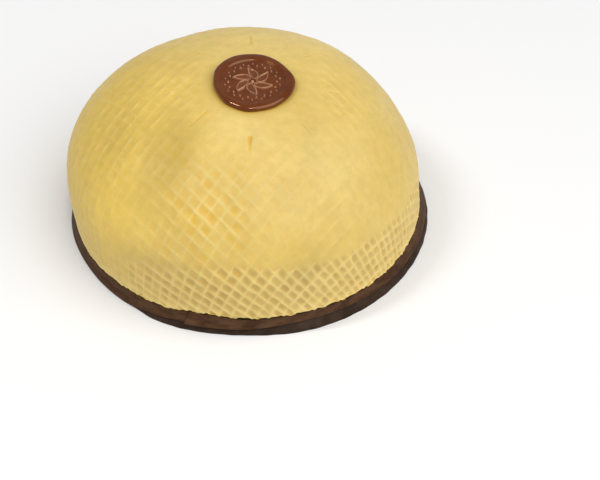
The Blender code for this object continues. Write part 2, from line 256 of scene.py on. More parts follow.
    def surface(self, plan: Array, sink: Array) -> Array:
        """Points of the dome over points of the cover's flat sheet.

        Args:
            plan: points of the flat sheet, one to a row.
            sink: how far each point lies below the dome's face.

        Returns:
            Places in space, one to a row.
        """
        azimuth, reach = np.arctan2(plan[:, 1], plan[:, 0]), np.hypot(plan[:, 0], plan[:, 1])
        rim = np.interp(azimuth, self.azimuths, self.hem_reaches)
        swell = self.swell * np.sin(self.swell_count * azimuth) * np.sin(math.pi * reach / rim)
        ahead, back = reach + self.slope_step, reach - self.slope_step
        out = self.look_up(self.radii, azimuth, ahead) - self.look_up(self.radii, azimuth, back)
        down = self.look_up(self.heights, azimuth, ahead) - self.look_up(self.heights, azimuth, back)
        length = np.hypot(out, down)
        radius = self.look_up(self.radii, azimuth, reach) + down / length * (sink - swell)
        height = self.look_up(self.heights, azimuth, reach) - out / length * (sink - swell)
        return self.polar(azimuth, radius, height)


@dataclass(frozen=True)
class BandForm:
    """The chocolate band's shared measures: its outer face, its layers and the cake's wall behind it."""

    dome: DomeForm
    radius: float = 0.1126
    top_radius: float = 0.1085
    drop: float = 0.0011
    foot_drop: float = 0.0004
    foot_thickness: float = 0.0022
    ribbon_thickness: float = 0.0011
    clearance: float = 0.0003
    wander: Wander = Wander(
        ((-176, 0.0009), (-150, -0.0006), (-131, -0.0005), (-118, 0.0010), (-92, -0.0007), (-70, 0.0009),
         (-20, -0.0003), (50, 0.0006), (95, -0.0006), (140, 0.0002))
    )  # fmt: skip
    ribbon_edge: Wander = Wander(
        ((-150, 0.0003), (-133, 0.0005), (-121, 0.0032), (-112, 0.0048), (-95, 0.0048), (-73, 0.0066),
         (-30, 0.0050), (20, 0.0022), (70, 0.0040), (115, 0.0028), (160, 0.0003))
    )  # fmt: skip

    def face(self, azimuth: Array, height: Array) -> Array:
        """Radius of the band's outer face."""
        rise = height / self.dome.hem_height
        return self.radius + (self.top_radius - self.radius) * rise + self.wander.at(azimuth) * (1 - rise)

    def wall(self, height: Array) -> Array:
        """Radius of the cake's own wall behind the band."""
        layers = self.ribbon_thickness + self.foot_thickness + 3 * self.clearance
        return self.radius + (self.top_radius - self.radius) * height / self.dome.hem_height - layers

    def top(self, azimuth: Array) -> Array:
        """Height of the ribbon's upper edge."""
        return self.dome.rim_height(azimuth) - self.drop


@dataclass(frozen=True)
class SealForm:
    """The poured seal's outline over the flat sheet: nearly round, spilled to a blunt corner at the right."""

    radius: float = 0.0253
    centre: tuple[float, float] = (0.0013, -0.0018)
    waves: tuple[tuple[int, float, float], ...] = (
        (1, 0.0295, 0.50), (2, 0.0375, -2.45), (3, 0.0207, 1.36), (4, 0.0076, 2.23), (5, 0.0049, 1.75),
        (6, 0.0039, 0.71), (7, 0.0026, 0.57), (9, 0.0018, -2.5), (10, 0.0047, 0.0),
    )  # fmt: skip

    def edge(self, turn: Array) -> Array:
        """Radius of the uneven outline.

        Args:
            turn: angles round the seal's own middle.

        Returns:
            The radius at each angle.
        """
        return self.radius * (1 + sum(share * np.sin(count * turn + phase) for count, share, phase in self.waves))

    def past_edge(self, plan: Array) -> Array:
        """How far points of the flat sheet lie outside the outline."""
        x, y = plan[:, 0] - self.centre[0], plan[:, 1] - self.centre[1]
        return np.hypot(x, y) - self.edge(np.arctan2(y, x))


@dataclass(frozen=True)
class Blot:
    """A soft-edged oval place of the flat sheet."""

    x: float
    y: float
    long: float
    wide: float
    degrees: float
    strength: float
    sink: float = 0.0
    edge_power: float = 2.0

    def at(self, plan: Array) -> Array:
        """Share of the blot at points of the flat sheet, 1 at its middle."""
        turn = math.radians(self.degrees)
        x, y = plan[:, 0] - self.x, plan[:, 1] - self.y
        along = x * math.cos(turn) + y * math.sin(turn)
        aside = y * math.cos(turn) - x * math.sin(turn)
        away = np.hypot(along / self.long, aside / self.wide)
        return np.exp(-(away**self.edge_power))


# ---------------------------------------------------------------------------------------------
# Mesh work
# ---------------------------------------------------------------------------------------------


def begin(name: str, add: Callable[[], object]) -> bpy.types.Object:
    """Add a primitive with nothing else selected, and name it.

    Args:
        name: the new piece's name.
        add: a call that adds the primitive.

    Returns:
        The new object, active and alone in the selection.
    """
    bpy.ops.object.select_all(action="DESELECT")
    add()
    piece = bpy.context.object
    piece.name = piece.data.name = name
    return piece


def points_of(piece: bpy.types.Object) -> Array:
    """The piece's vertices, one to a row."""
    flat = np.empty(len(piece.data.vertices) * 3)
    piece.data.vertices.foreach_get("co", flat)
    return flat.reshape(-1, 3)


def move_points(piece: bpy.types.Object, points: Array) -> None:
    """Put the piece's vertices at new places."""
    piece.data.vertices.foreach_set("co", np.ascontiguousarray(points, dtype=np.float32).ravel())
    piece.data.update()


def write_layer(piece: bpy.types.Object, name: str, values: Array) -> None:
    """Keep one number per vertex under a name."""
    layer = piece.data.attributes.get(name) or piece.data.attributes.new(name, "FLOAT", "POINT")
    layer.data.foreach_set("value", np.ascontiguousarray(values, dtype=np.float32))


def read_layer(piece: bpy.types.Object, name: str) -> Array:
    """The numbers kept under a name."""
    values = np.empty(len(piece.data.vertices), dtype=np.float32)
    piece.data.attributes[name].data.foreach_get("value", values)
    return values.astype(float)


def in_edit_mode(piece: bpy.types.Object, work: Callable[[], None]) -> None:
    """Do some work in edit mode on one piece, all of it selected to begin with."""
    bpy.ops.object.select_all(action="DESELECT")
    bpy.context.view_layer.objects.active = piece
    piece.select_set(True)
    bpy.ops.object.mode_set(mode="EDIT")
    bpy.ops.mesh.select_all(action="SELECT")
    work()
    bpy.ops.object.mode_set(mode="OBJECT")


def spin_outline(name: str, outline: Sequence[tuple[float, float]], steps: int, closed: bool) -> bpy.types.Object:
    """Spin an outline once round the Z axis. Each vertex keeps its row in the layer "row".

    Args:
        name: the new piece's name.
        outline: radius and height of each point.
        steps: how many steps go round.
        closed: whether the last point joins the first.

    Returns:
        The spun piece, its seam and its poles merged.
    """
    count = len(outline)
    piece = begin(name, lambda: bpy.ops.mesh.primitive_circle_add(vertices=count, radius=1, fill_type="NOTHING"))
    move_points(piece, np.array([(radius, 0.0, height) for radius, height in outline]))
    write_layer(piece, "row", np.arange(count))
    if not closed:
        closing = next(edge for edge in piece.data.edges if set(edge.vertices) == {0, count - 1})
        for part in (piece.data.vertices, piece.data.edges):
            part.foreach_set("select", [False] * len(part))
        closing.select = True
        bpy.ops.object.mode_set(mode="EDIT")
        bpy.ops.mesh.delete(type="EDGE")
        bpy.ops.object.mode_set(mode="OBJECT")

    def work() -> None:
        """Spin the outline and merge where it meets itself."""
        bpy.ops.mesh.spin(steps=steps, angle=math.tau, use_auto_merge=True, center=(0, 0, 0), axis=(0, 0, 1))
        bpy.ops.mesh.select_all(action="SELECT")
        bpy.ops.mesh.remove_doubles(threshold=1e-6)
        bpy.ops.mesh.normals_make_consistent(inside=False)

    in_edit_mode(piece, work)
    return piece


def finish_piece(piece: bpy.types.Object, material: bpy.types.Material, sharp_angle: float) -> None:
    """Turn the faces outwards, shade them smooth up to an angle, and give them their material."""

    def work() -> None:
        """Make the faces point outwards."""
        bpy.ops.mesh.normals_make_consistent(inside=False)

    in_edit_mode(piece, work)
    bpy.ops.object.shade_smooth_by_angle(angle=math.radians(sharp_angle))
    piece.data.materials.clear()
    piece.data.materials.append(material)


# ---------------------------------------------------------------------------------------------
# Shader building
# ---------------------------------------------------------------------------------------------


@dataclass
class NodeBench:
    """Adds and joins the nodes of one tree."""

    tree: bpy.types.NodeTree

    def add(self, kind: str, settings: dict[str, object] | None = None, **inputs: object) -> bpy.types.Node:
        """Add a node.

        Args:
            kind: the node's type.
            settings: properties of the node.
            inputs: a socket or a value for each input, underscores standing for spaces.

        Returns:
            The node.
        """
        node = self.tree.nodes.new(kind)
        for key, value in (settings or {}).items():
            setattr(node, key, value)
        for key, value in inputs.items():
            self.feed(node.inputs[key.replace("_", " ")], value)
        return node

    def feed(self, socket: bpy.types.NodeSocket, value: object) -> None:
        """Join an input to a socket, or set it to a value."""
        if isinstance(value, bpy.types.NodeSocket):
            self.tree.links.new(value, socket)
        else:
            socket.default_value = value

    def group(self, tree: bpy.types.NodeTree, place: bpy.types.NodeSocket, **inputs: object) -> bpy.types.Node:
        """Add a shared effect at a place, with its own values."""
        return self.add("ShaderNodeGroup", {"node_tree": tree}, Vector=place, **inputs)

    def math(self, operation: str, first: object, second: object) -> bpy.types.NodeSocket:
        """A sum or a product of two numbers."""
        node = self.add("ShaderNodeMath", {"operation": operation})
        self.feed(node.inputs[0], first)
        self.feed(node.inputs[1], second)
        return node.outputs[0]

    def ramp(
        self, value: object, low: float, high: float, out_low: float = 0.0, out_high: float = 1.0
    ) -> bpy.types.NodeSocket:
        """Carry a number smoothly from one range to another."""
        node = self.add(
            "ShaderNodeMapRange",
            {"interpolation_type": "SMOOTHSTEP"},
            Value=value, From_Min=low, From_Max=high, To_Min=out_low, To_Max=out_high,
        )  # fmt: skip
        return node.outputs["Result"]

    def mix(self, factor: object, first: object, second: object) -> bpy.types.NodeSocket:
        """Lay a second colour over a first."""
        node = self.add("ShaderNodeMix", {"data_type": "RGBA"})
        for index, value in ((0, factor), (6, self.colour(first)), (7, self.colour(second))):
            self.feed(node.inputs[index], value)
        return node.outputs[2]

    def scale(self, colour: object, factor: object) -> bpy.types.NodeSocket:
        """A colour times a number."""
        node = self.add("ShaderNodeVectorMath", {"operation": "SCALE"}, Scale=factor)
        self.feed(node.inputs[0], colour)
        return node.outputs[0]

    @staticmethod
    def colour(value: object) -> object:
        """A colour with its alpha, or the socket as it is."""
        return value if isinstance(value, bpy.types.NodeSocket) else (*value, 1.0)

    def layer(self, name: str) -> bpy.types.NodeSocket:
        """The numbers that a piece keeps under a name."""
        return self.add("ShaderNodeAttribute", {"attribute_type": "GEOMETRY", "attribute_name": name}).outputs["Fac"]

    def noise(self, vector: object, scale: object, detail: float, roughness: float = 0.5) -> bpy.types.NodeSocket:
        """Fractal noise."""
        inputs = {"Vector": vector, "Scale": scale, "Detail": detail, "Roughness": roughness}
        return self.add("ShaderNodeTexNoise", **inputs).outputs["Fac"]


@dataclass(frozen=True)
class EffectGroups:
    """Node groups that more than one finish uses."""

    mottle: bpy.types.NodeTree
    grain: bpy.types.NodeTree
    bloom: bpy.types.NodeTree

    @classmethod
    def build(cls) -> "EffectGroups":
        """Build the three groups."""
        return cls(cls.build_mottle(), cls.build_grain(), cls.build_bloom())

    @staticmethod
    def start(name: str, inputs: dict[str, str], outputs: dict[str, str]) -> tuple[NodeBench, bpy.types.Node]:
        """Start a group.

        Args:
            name: the group's name.
            inputs: the kind of each named input.
            outputs: the kind of each named output.

        Returns:
            The group's bench and the node that holds its inputs.
        """
        tree = bpy.data.node_groups.new(name, "ShaderNodeTree")
        for way, sockets in (("INPUT", inputs), ("OUTPUT", outputs)):
            for title, kind in sockets.items():
                tree.interface.new_socket(name=title, in_out=way, socket_type=f"NodeSocket{kind}")
        bench = NodeBench(tree)
        return bench, bench.add("NodeGroupInput")

    @classmethod
    def build_mottle(cls) -> bpy.types.NodeTree:
        """Cloudy variation between two colours."""
        inputs = {"Vector": "Vector", "Scale": "Float", "Low": "Color", "High": "Color"}
        bench, inside = cls.start("mottled_colour", inputs, {"Colour": "Color"})
        given = inside.outputs
        clouds = bench.ramp(bench.noise(given["Vector"], given["Scale"], 4.0, 0.55), 0.32, 0.68)
        bench.add("NodeGroupOutput", Colour=bench.mix(clouds, given["Low"], given["High"]))
        return bench.tree

    @classmethod
    def build_grain(cls) -> bpy.types.NodeTree:
        """Fine uneven height, for the Bump node that gives a food its skin."""
        inputs = {"Vector": "Vector", "Coarse Scale": "Float", "Fine Scale": "Float", "Fine Share": "Float"}
        bench, inside = cls.start("skin_grain", inputs, {"Height": "Float"})
        given = inside.outputs
        coarse = bench.noise(given["Vector"], given["Coarse Scale"], 3.0)
        fine = bench.math("MULTIPLY", bench.noise(given["Vector"], given["Fine Scale"], 2.0), given["Fine Share"])
        bench.add("NodeGroupOutput", Height=bench.math("ADD", coarse, fine))
        return bench.tree

    @classmethod
    def build_bloom(cls) -> bpy.types.NodeTree:
        """Pale clouds of cocoa butter on chocolate, as a mask and a roughness."""
        inputs = {"Vector": "Vector", "Scale": "Float", "Amount": "Float", "Roughness": "Float"}
        bench, inside = cls.start("cocoa_bloom", inputs, {"Mask": "Float", "Roughness": "Float"})
        given = inside.outputs
        clouds = bench.ramp(bench.noise(given["Vector"], given["Scale"], 6.0, 0.62), 0.42, 0.75)
        mask = bench.math("MULTIPLY", clouds, given["Amount"])
        roughness = bench.math("ADD", given["Roughness"], bench.math("MULTIPLY", mask, 0.35))
        bench.add("NodeGroupOutput", Mask=mask, Roughness=roughness)
        return bench.tree


def start_material(name: str) -> tuple[bpy.types.Material, NodeBench, bpy.types.Node]:
    """A new material, its bench and its Principled shader."""
    material = bpy.data.materials.new(name)
    material.use_nodes = True
    return material, NodeBench(material.node_tree), material.node_tree.nodes["Principled BSDF"]


def object_place(bench: NodeBench, stretch: tuple[float, float, float]) -> bpy.types.NodeSocket:
    """Object coordinates, centred on the cake's middle height and stretched."""
    place = bench.add("ShaderNodeTexCoord").outputs["Object"]
    return bench.add("ShaderNodeMapping", Vector=place, Location=(0, 0, -0.05), Scale=stretch).outputs[0]


def add_grain(
    bench: NodeBench, shader: bpy.types.Node, grain: bpy.types.Node, strength: float, distance: float
) -> None:
    """Let a grain's height bump the shader's face."""
    bump = bench.add("ShaderNodeBump", Strength=strength, Distance=distance, Height=grain.outputs["Height"])
    bench.feed(shader.inputs["Normal"], bump.outputs["Normal"])


@dataclass(frozen=True)
class MarzipanFinish:
    """Pale yellow rolled marzipan, semi-matte, a little see-through."""

    deep: Colour = (0.715, 0.510, 0.135)
    pale: Colour = (0.745, 0.545, 0.158)
    line: Colour = (0.790, 0.610, 0.225)
    # Orange of the thin, stretched marzipan in the pits and dents; it also paints the seal's contact shadow.
    blush_and_seal_shadow: Colour = (0.710, 0.445, 0.070)
    # Colour of the painted shade in the pits near the hem.
    painted_pit_shade: Colour = (0.540, 0.370, 0.110)
    ochre: Colour = (0.715, 0.495, 0.085)
    # Pale, less yellow colour of the painted sheen and of the pale hem edge.
    painted_sheen_and_pale_hem: Colour = (0.770, 0.600, 0.240)
    roughness: tuple[float, float] = (0.41, 0.53)
    coarse_scale: float = 42.0
    fleck_scale: float = 150.0
    fleck_swing: float = 0.045
    smear_scale: float = 90.0

    def build(self, groups: EffectGroups) -> bpy.types.Material:
        """Build the material.

        Args:
            groups: the shared effects.

        Returns:
            The material.
        """
        material, bench, shader = start_material("marzipan_cover")
        place = object_place(bench, (1, 1, 1))
        mottle = bench.group(groups.mottle, place, Scale=self.coarse_scale, Low=(*self.deep, 1), High=(*self.pale, 1))
        colour = mottle.outputs["Colour"]
        # Layers over the mottled colour: ochre, painted sheen, painted pit shade, blush with the painted seal shadow,
        # and pale pressed lines.
        shades = {"ochre": self.ochre, "painted_sheen_and_pale_hem": self.painted_sheen_and_pale_hem, "painted_pit_shade": self.painted_pit_shade, "blush_and_seal_shadow": self.blush_and_seal_shadow, "line": self.line}
        for layer, shade in shades.items():
            colour = bench.mix(bench.layer(layer), colour, shade)
        swing = (1 - self.fleck_swing, 1 + self.fleck_swing)
        flecks = bench.ramp(bench.noise(place, self.fleck_scale, 4.0, 0.6), 0.3, 0.7, *swing)
        # The painted light and shade layer scales the colour up or down, together with random flecks.
        colour = bench.scale(colour, bench.math("MULTIPLY", flecks, bench.layer("painted_shading_and_tone")))
        bench.feed(shader.inputs["Base Color"], colour)
        smear = bench.noise(place, self.smear_scale, 4.0)
        bench.feed(shader.inputs["Roughness"], bench.ramp(smear, 0.3, 0.7, *self.roughness))
        grain = bench.group(groups.grain, place, Coarse_Scale=260.0, Fine_Scale=1400.0, Fine_Share=0.4)
        add_grain(bench, shader, grain, strength=0.25, distance=0.00022)
        shader.inputs["Subsurface Weight"].default_value = 0.12
        shader.inputs["Subsurface Radius"].default_value = (1.0, 0.6, 0.25)
        shader.inputs["Subsurface Scale"].default_value = 0.0025
        shader.inputs["Specular IOR Level"].default_value = 0.35
        return material


@dataclass(frozen=True)
class ChocolateFinish:
    """Chocolate: its body colour, its bloom, its painted crest highlights and its gloss."""

    name: str
    deep: Colour
    body: Colour
    # Colour of the cocoa butter bloom, also used for the painted crest highlights.
    bloom: Colour
    roughness: float
    coat: float
    coat_roughness: float
    specular: float
    cloud_scale: float = 60.0
    bloom_amount: float = 0.3
    stretch: tuple[float, float, float] = (1.0, 1.0, 1.0)
    specular_tint: Colour = (1.0, 1.0, 1.0)

    def build(self, groups: EffectGroups) -> bpy.types.Material:
        """Build the material.

        Args:
            groups: the shared effects.

        Returns:
            The material.
        """
        material, bench, shader = start_material(self.name)
        place = object_place(bench, self.stretch)
        shades = {"Low": (*self.deep, 1), "High": (*self.body, 1)}
        mottle = bench.group(groups.mottle, place, Scale=self.cloud_scale * 1.7, **shades)
        clouds = {"Amount": self.bloom_amount, "Roughness": self.roughness}
        bloom = bench.group(groups.bloom, place, Scale=self.cloud_scale, **clouds)
        colour = bench.mix(bloom.outputs["Mask"], mottle.outputs["Colour"], self.bloom)
        # Painted highlight on the raised ornament's crests, in the bloom colour.
        colour = bench.mix(bench.layer("painted_crest_highlight"), colour, self.bloom)
        bench.feed(shader.inputs["Base Color"], colour)
        bench.feed(shader.inputs["Roughness"], bloom.outputs["Roughness"])
        grain = bench.group(groups.grain, place, Coarse_Scale=220.0, Fine_Scale=1200.0, Fine_Share=0.25)
        add_grain(bench, shader, grain, strength=0.2, distance=0.0002)
        shader.inputs["Specular IOR Level"].default_value = self.specular
        shader.inputs["Specular Tint"].default_value = (*self.specular_tint, 1)
        if self.coat:
            bench.feed(shader.inputs["Coat Weight"], bench.math("MULTIPLY", bench.layer("gloss"), self.coat))
        shader.inputs["Coat Roughness"].default_value = self.coat_roughness
        return material


# ---------------------------------------------------------------------------------------------
# The marzipan cover
# ---------------------------------------------------------------------------------------------


class Family(Enum):
    """The two ways that the pressed lines run over the flat sheet."""

    FALLING = 0
    RISING = 1


@dataclass(frozen=True)
class PressedLines:
    """One family of pressed lines. A line lies wherever its number is whole.

    The number is a polynomial of x and y over the flat sheet. Its weights go by rising degree and,
    within a degree, by rising power of x.
    """

    start: float
    weights: tuple[float, ...]
    unit: float = 0.1

    def terms(self) -> list[tuple[int, int, float]]:
        """Power of x, power of y and weight of each term."""
        terms, degree, power = [], 1, 0
        for weight in self.weights:
            terms.append((power, degree - power, weight))
            degree, power = (degree, power + 1) if power < degree else (degree + 1, 0)
        return terms

    def number(self, plan: Array) -> Array:
        """Line number at points of the flat sheet."""
        x, y = plan[:, 0] / self.unit, plan[:, 1] / self.unit
        return self.start + sum(weight * x**i * y**j for i, j, weight in self.terms())

    def slope(self, plan: Array) -> Array:
        """How fast the number grows along x and along y, per metre."""
        x, y = plan[:, 0] / self.unit, plan[:, 1] / self.unit
        along_x = sum(weight * i * x ** max(i - 1, 0) * y**j for i, j, weight in self.terms())
        along_y = sum(weight * j * x**i * y ** max(j - 1, 0) for i, j, weight in self.terms())
        return np.stack([along_x, along_y], axis=-1) / self.unit


@dataclass(frozen=True)
class ClearPlace:
    """A place of the flat sheet where the lattice shows clearly."""

    x: float
    y: float
    wide: float
    tall: float
    falling: float
    rising: float

    def at(self, plan: Array, family: Family) -> Array:
        """How clearly a family of lines shows here, at points of the flat sheet."""
        strength = self.falling if family is Family.FALLING else self.rising
        return strength * bell(plan[:, 0] - self.x, self.wide) * bell(plan[:, 1] - self.y, self.tall)


@dataclass(frozen=True)
class Pressing:
    """What the lattice leaves at points of the flat sheet."""

    sink: Array
    crest: Array
    pit: Array
    cell: Array
    hem: Array


@dataclass(frozen=True)
class Lattice:
    """The waffle lattice: where its lines run and how deeply they are pressed."""

    falling: PressedLines = PressedLines(
        11.019, (10.32, 11.786, -0.295, 1.393, -0.934, 0.027, -0.51, 0.196, -0.532)
    )
    rising: PressedLines = PressedLines(
        -8.45,
        (-8.463, 9.6, -0.56, -0.537, -0.897, 0.19, -0.488, -0.082, 0.047, 0.092, 0.152, 0.501, 0.019, 0.299),
    )
    line_width: float = 0.0020
    hem_line_width: float = 0.0027
    crest_width: float = 0.0016
    cell_shares: tuple[float, ...] = (0.0, 0.075, 0.17, 0.36, 0.64, 0.83, 0.925)
    pit_depth: float = 0.00060
    hem_extra_depth: float = 0.55
    cell_spread: float = 0.35
    uneven: float = 0.22
    break_share: float = 0.6
    hem_mended: float = 0.5
    hem_evened: float = 0.4
    wear: float = 0.35
    wear_length: float = 0.014
    uneven_length: float = 0.011
    draw_size: int = 64
    search_rounds: int = 40
    search_step: float = 0.01
    search_miss: float = 1e-4
    faint: float = 0.16
    places: tuple[ClearPlace, ...] = (
        ClearPlace(-0.022, -0.098, 0.030, 0.030, 0.66, 0.50),
        ClearPlace(-0.060, -0.120, 0.022, 0.020, 0.42, 0.26),
        ClearPlace(0.062, -0.092, 0.022, 0.024, 0.08, 0.40),
        ClearPlace(0.020, -0.070, 0.016, 0.016, 0.20, 0.24),
        ClearPlace(0.052, 0.000, 0.020, 0.026, 0.46, 0.14),
        ClearPlace(-0.080, -0.010, 0.038, 0.052, 0.24, 0.58),
        ClearPlace(-0.120, -0.070, 0.026, 0.030, 0.22, 0.54),
        ClearPlace(-0.042, 0.002, 0.013, 0.022, 0.12, 0.46),
        ClearPlace(0.070, 0.080, 0.036, 0.030, 0.34, 0.26),
        ClearPlace(-0.040, 0.090, 0.030, 0.034, 0.22, 0.46),
    )
    hem_zone: Wander = Wander(
        ((-180, 0.022), (-135, 0.022), (-120, 0.032), (-90, 0.040), (-60, 0.034), (0, 0.030), (60, 0.036),
         (120, 0.028))
    )  # fmt: skip
    hem_clear: Wander = Wander(
        ((-180, 0.30), (-140, 0.22), (-122, 0.80), (-90, 1.0), (-50, 0.95), (0, 0.7), (60, 0.85), (120, 0.6))
    )
    hem_fade: float = 0.009
    hem_shares: tuple[float, float] = (1.0, 0.8)

    def numbers(self, limit: float) -> tuple[Array, Array]:
        """Line numbers of the mesh's rows and columns: each cell is cut at the same shares.

        Args:
            limit: radius of the flat sheet that has to be covered.

        Returns:
            The falling and the rising line numbers.
        """
        turn, away = np.meshgrid(np.linspace(0, math.tau, 181), np.linspace(0, limit, 20))
        disc = polar_plan(turn.ravel(), away.ravel())
        rows = []
        for lines in (self.falling, self.rising):
            found = lines.number(disc)
            low, high = math.floor(found.min()) - 1, math.ceil(found.max()) + 1
            rows.append(np.append((np.arange(low, high)[:, None] + np.array(self.cell_shares)).ravel(), high))
        return rows[0], rows[1]

    def sheet_points(self, numbers: Array, limit: float) -> tuple[Array, Array]:
        """Find the points of the flat sheet that have given line numbers.

        Args:
            numbers: falling and rising line numbers, one pair to a row.
            limit: radius of the flat sheet past which points are not needed.

        Returns:
            The points, one to a row, and whether each was found within the limit.
        """
        start = np.zeros((1, 2))
        base = np.array([self.falling.number(start)[0], self.rising.number(start)[0]])
        turn = np.stack([self.falling.slope(start)[0], self.rising.slope(start)[0]])
        plan = np.linalg.solve(turn, (numbers - base).T).T
        far = np.hypot(plan[:, 0], plan[:, 1])
        plan *= np.minimum(1.0, limit / np.maximum(far, 1e-9))[:, None]
        for _ in range(self.search_rounds):
            miss_a = numbers[:, 0] - self.falling.number(plan)
            miss_b = numbers[:, 1] - self.rising.number(plan)
            a, b = self.falling.slope(plan), self.rising.slope(plan)
            scale = a[:, 0] * b[:, 1] - a[:, 1] * b[:, 0]
            step = np.stack([miss_a * b[:, 1] - miss_b * a[:, 1], miss_b * a[:, 0] - miss_a * b[:, 0]], axis=-1)
            step /= scale[:, None]
            length = np.maximum(np.hypot(step[:, 0], step[:, 1]), 1e-12)
            plan += step * np.minimum(1.0, self.search_step / length)[:, None]
            far = np.maximum(np.hypot(plan[:, 0], plan[:, 1]), 1e-9)
            plan *= np.minimum(1.0, limit / far)[:, None]
        missed = np.hypot(numbers[:, 0] - self.falling.number(plan), numbers[:, 1] - self.rising.number(plan))
        return plan, missed < self.search_miss

    def draw(self, seed: int, row: Array, column: Array) -> Array:
        """Seeded draws from 0 to 1, the same wherever the row and the column are the same."""
        table = np.random.default_rng(seed).uniform(0, 1, (self.draw_size, self.draw_size))
        return table[row.astype(int) % self.draw_size, column.astype(int) % self.draw_size]

    def near_hem(self, plan: Array, above_hem: Array) -> Array:
        """Share of the hem's own, deeper pattern at points of the flat sheet."""
        azimuth = np.arctan2(plan[:, 1], plan[:, 0])
        return smoothstep((self.hem_zone.at(azimuth) - above_hem) / self.hem_fade + 0.5) * self.hem_clear.at(azimuth)

    def clearness(self, family: Family, plan: Array, above_hem: Array) -> Array:
        """How clearly a family's lines show, from 0 to 1."""
        total = np.full(len(plan), self.faint)
        for place in self.places:
            total = total + place.at(plan, family)
        wear = 1 + self.wear * SoftNoise(20 + family.value, self.wear_length).at(plan)
        total = np.maximum(total, self.near_hem(plan, above_hem) * self.hem_shares[family.value])
        return total * np.clip(wear, 0.3, 1.5)

    def press(self, plan: Array, above_hem: Array, fade: Array) -> Pressing:
        """Press the lattice into the flat sheet.

        Args:
            plan: points of the flat sheet, one to a row.
            above_hem: how far each point lies above the hem.
            fade: share of the lattice that each point keeps.

        Returns:
            What the press leaves at each point.
        """
        hem = self.near_hem(plan, above_hem)
        width = self.line_width + (self.hem_line_width - self.line_width) * hem
        numbers = [lines.number(plan) for lines in (self.falling, self.rising)]
        pitches = [1 / np.hypot(*lines.slope(plan).T) for lines in (self.falling, self.rising)]
        aways = [np.abs(number - np.round(number)) * pitch for number, pitch in zip(numbers, pitches)]
        falls = [smoothstep(away / width) for away in aways]
        ridges, crests, clears = [], [], []
        for family in Family:
            own, other = family.value, 1 - family.value
            clear = np.clip(self.clearness(family, plan, above_hem) * fade, 0, 1)
            broken = self.draw(51 + own, np.round(numbers[own]), np.floor(numbers[other])) * falls[other]
            height = clear * (1 - self.break_share * broken * (1 - self.hem_mended * hem))
            ridges.append((1 - falls[own]) * height)
            crests.append(smoothstep(1 - aways[own] / self.crest_width) * height)
            clears.append(clear)
        clear = np.maximum(*clears)
        low = np.minimum(*ridges) * (1 - np.maximum(*ridges) / np.maximum(clear, 1e-6))
        ridge = np.minimum(np.maximum(*ridges) + low, clear)
        cell = self.draw(61, np.floor(numbers[0]), np.floor(numbers[1])) * 2 - 1
        cell = cell * falls[0] * falls[1]
        pit = (clear - ridge) * (1 + self.cell_spread * cell * (1 - self.hem_evened * hem))
        pit = pit * np.clip(1 + self.uneven * SoftNoise(31, self.uneven_length).at(plan), 0.3, 1.6)
        sink = self.pit_depth * (1 + self.hem_extra_depth * hem) * pit
        return Pressing(sink, np.maximum(*crests), pit, cell, hem)


@dataclass(frozen=True)
class Dent:
    """A short dent of the cover: blunt where it starts, thin where it ends."""

    x: float
    y: float
    degrees: float
    length: float
    half_width: float
    depth: float
    taper: float = 0.5

    def place(self, plan: Array) -> tuple[Array, Array]:
        """Share of the way along the dent and distance to its side, at points of the flat sheet."""
        turn = math.radians(self.degrees)
        x, y = plan[:, 0] - self.x, plan[:, 1] - self.y
        along, aside = x * math.cos(turn) + y * math.sin(turn), x * math.sin(turn) - y * math.cos(turn)
        return along / self.length, np.abs(aside)

    def at(self, plan: Array) -> Array:
        """Share of the dent's depth at points of the flat sheet."""
        share, aside = self.place(plan)
        width = self.half_width * (1 - self.taper * np.clip(share, 0, 1))
        return smoothstep(1 - aside / width) * smoothstep((share + 0.06) / 0.12) * np.clip(1 - share, 0, 1) ** 0.7


def portion_dents() -> tuple[Dent, ...]:
    """The short dents that mark the portions, all pointing away from the crown."""
    centre, start, length = (0.001, -0.001), 0.045, 0.0145
    marks = ((-90, 0.0020, 0.0013), (-47, 0.0012, 0.0004), (-2, 0.0012, 0.0004), (43, 0.0013, 0.0005),
             (91, 0.0014, 0.0010), (132, 0.0013, 0.0005), (178, 0.0012, 0.0004))  # fmt: skip
    dents = []
    for degrees, half_width, depth in marks:
        turn = math.radians(degrees)
        x, y = centre[0] + start * math.cos(turn), centre[1] + start * math.sin(turn)
        dents.append(Dent(x, y, degrees, length, half_width, depth))
    return tuple(dents)


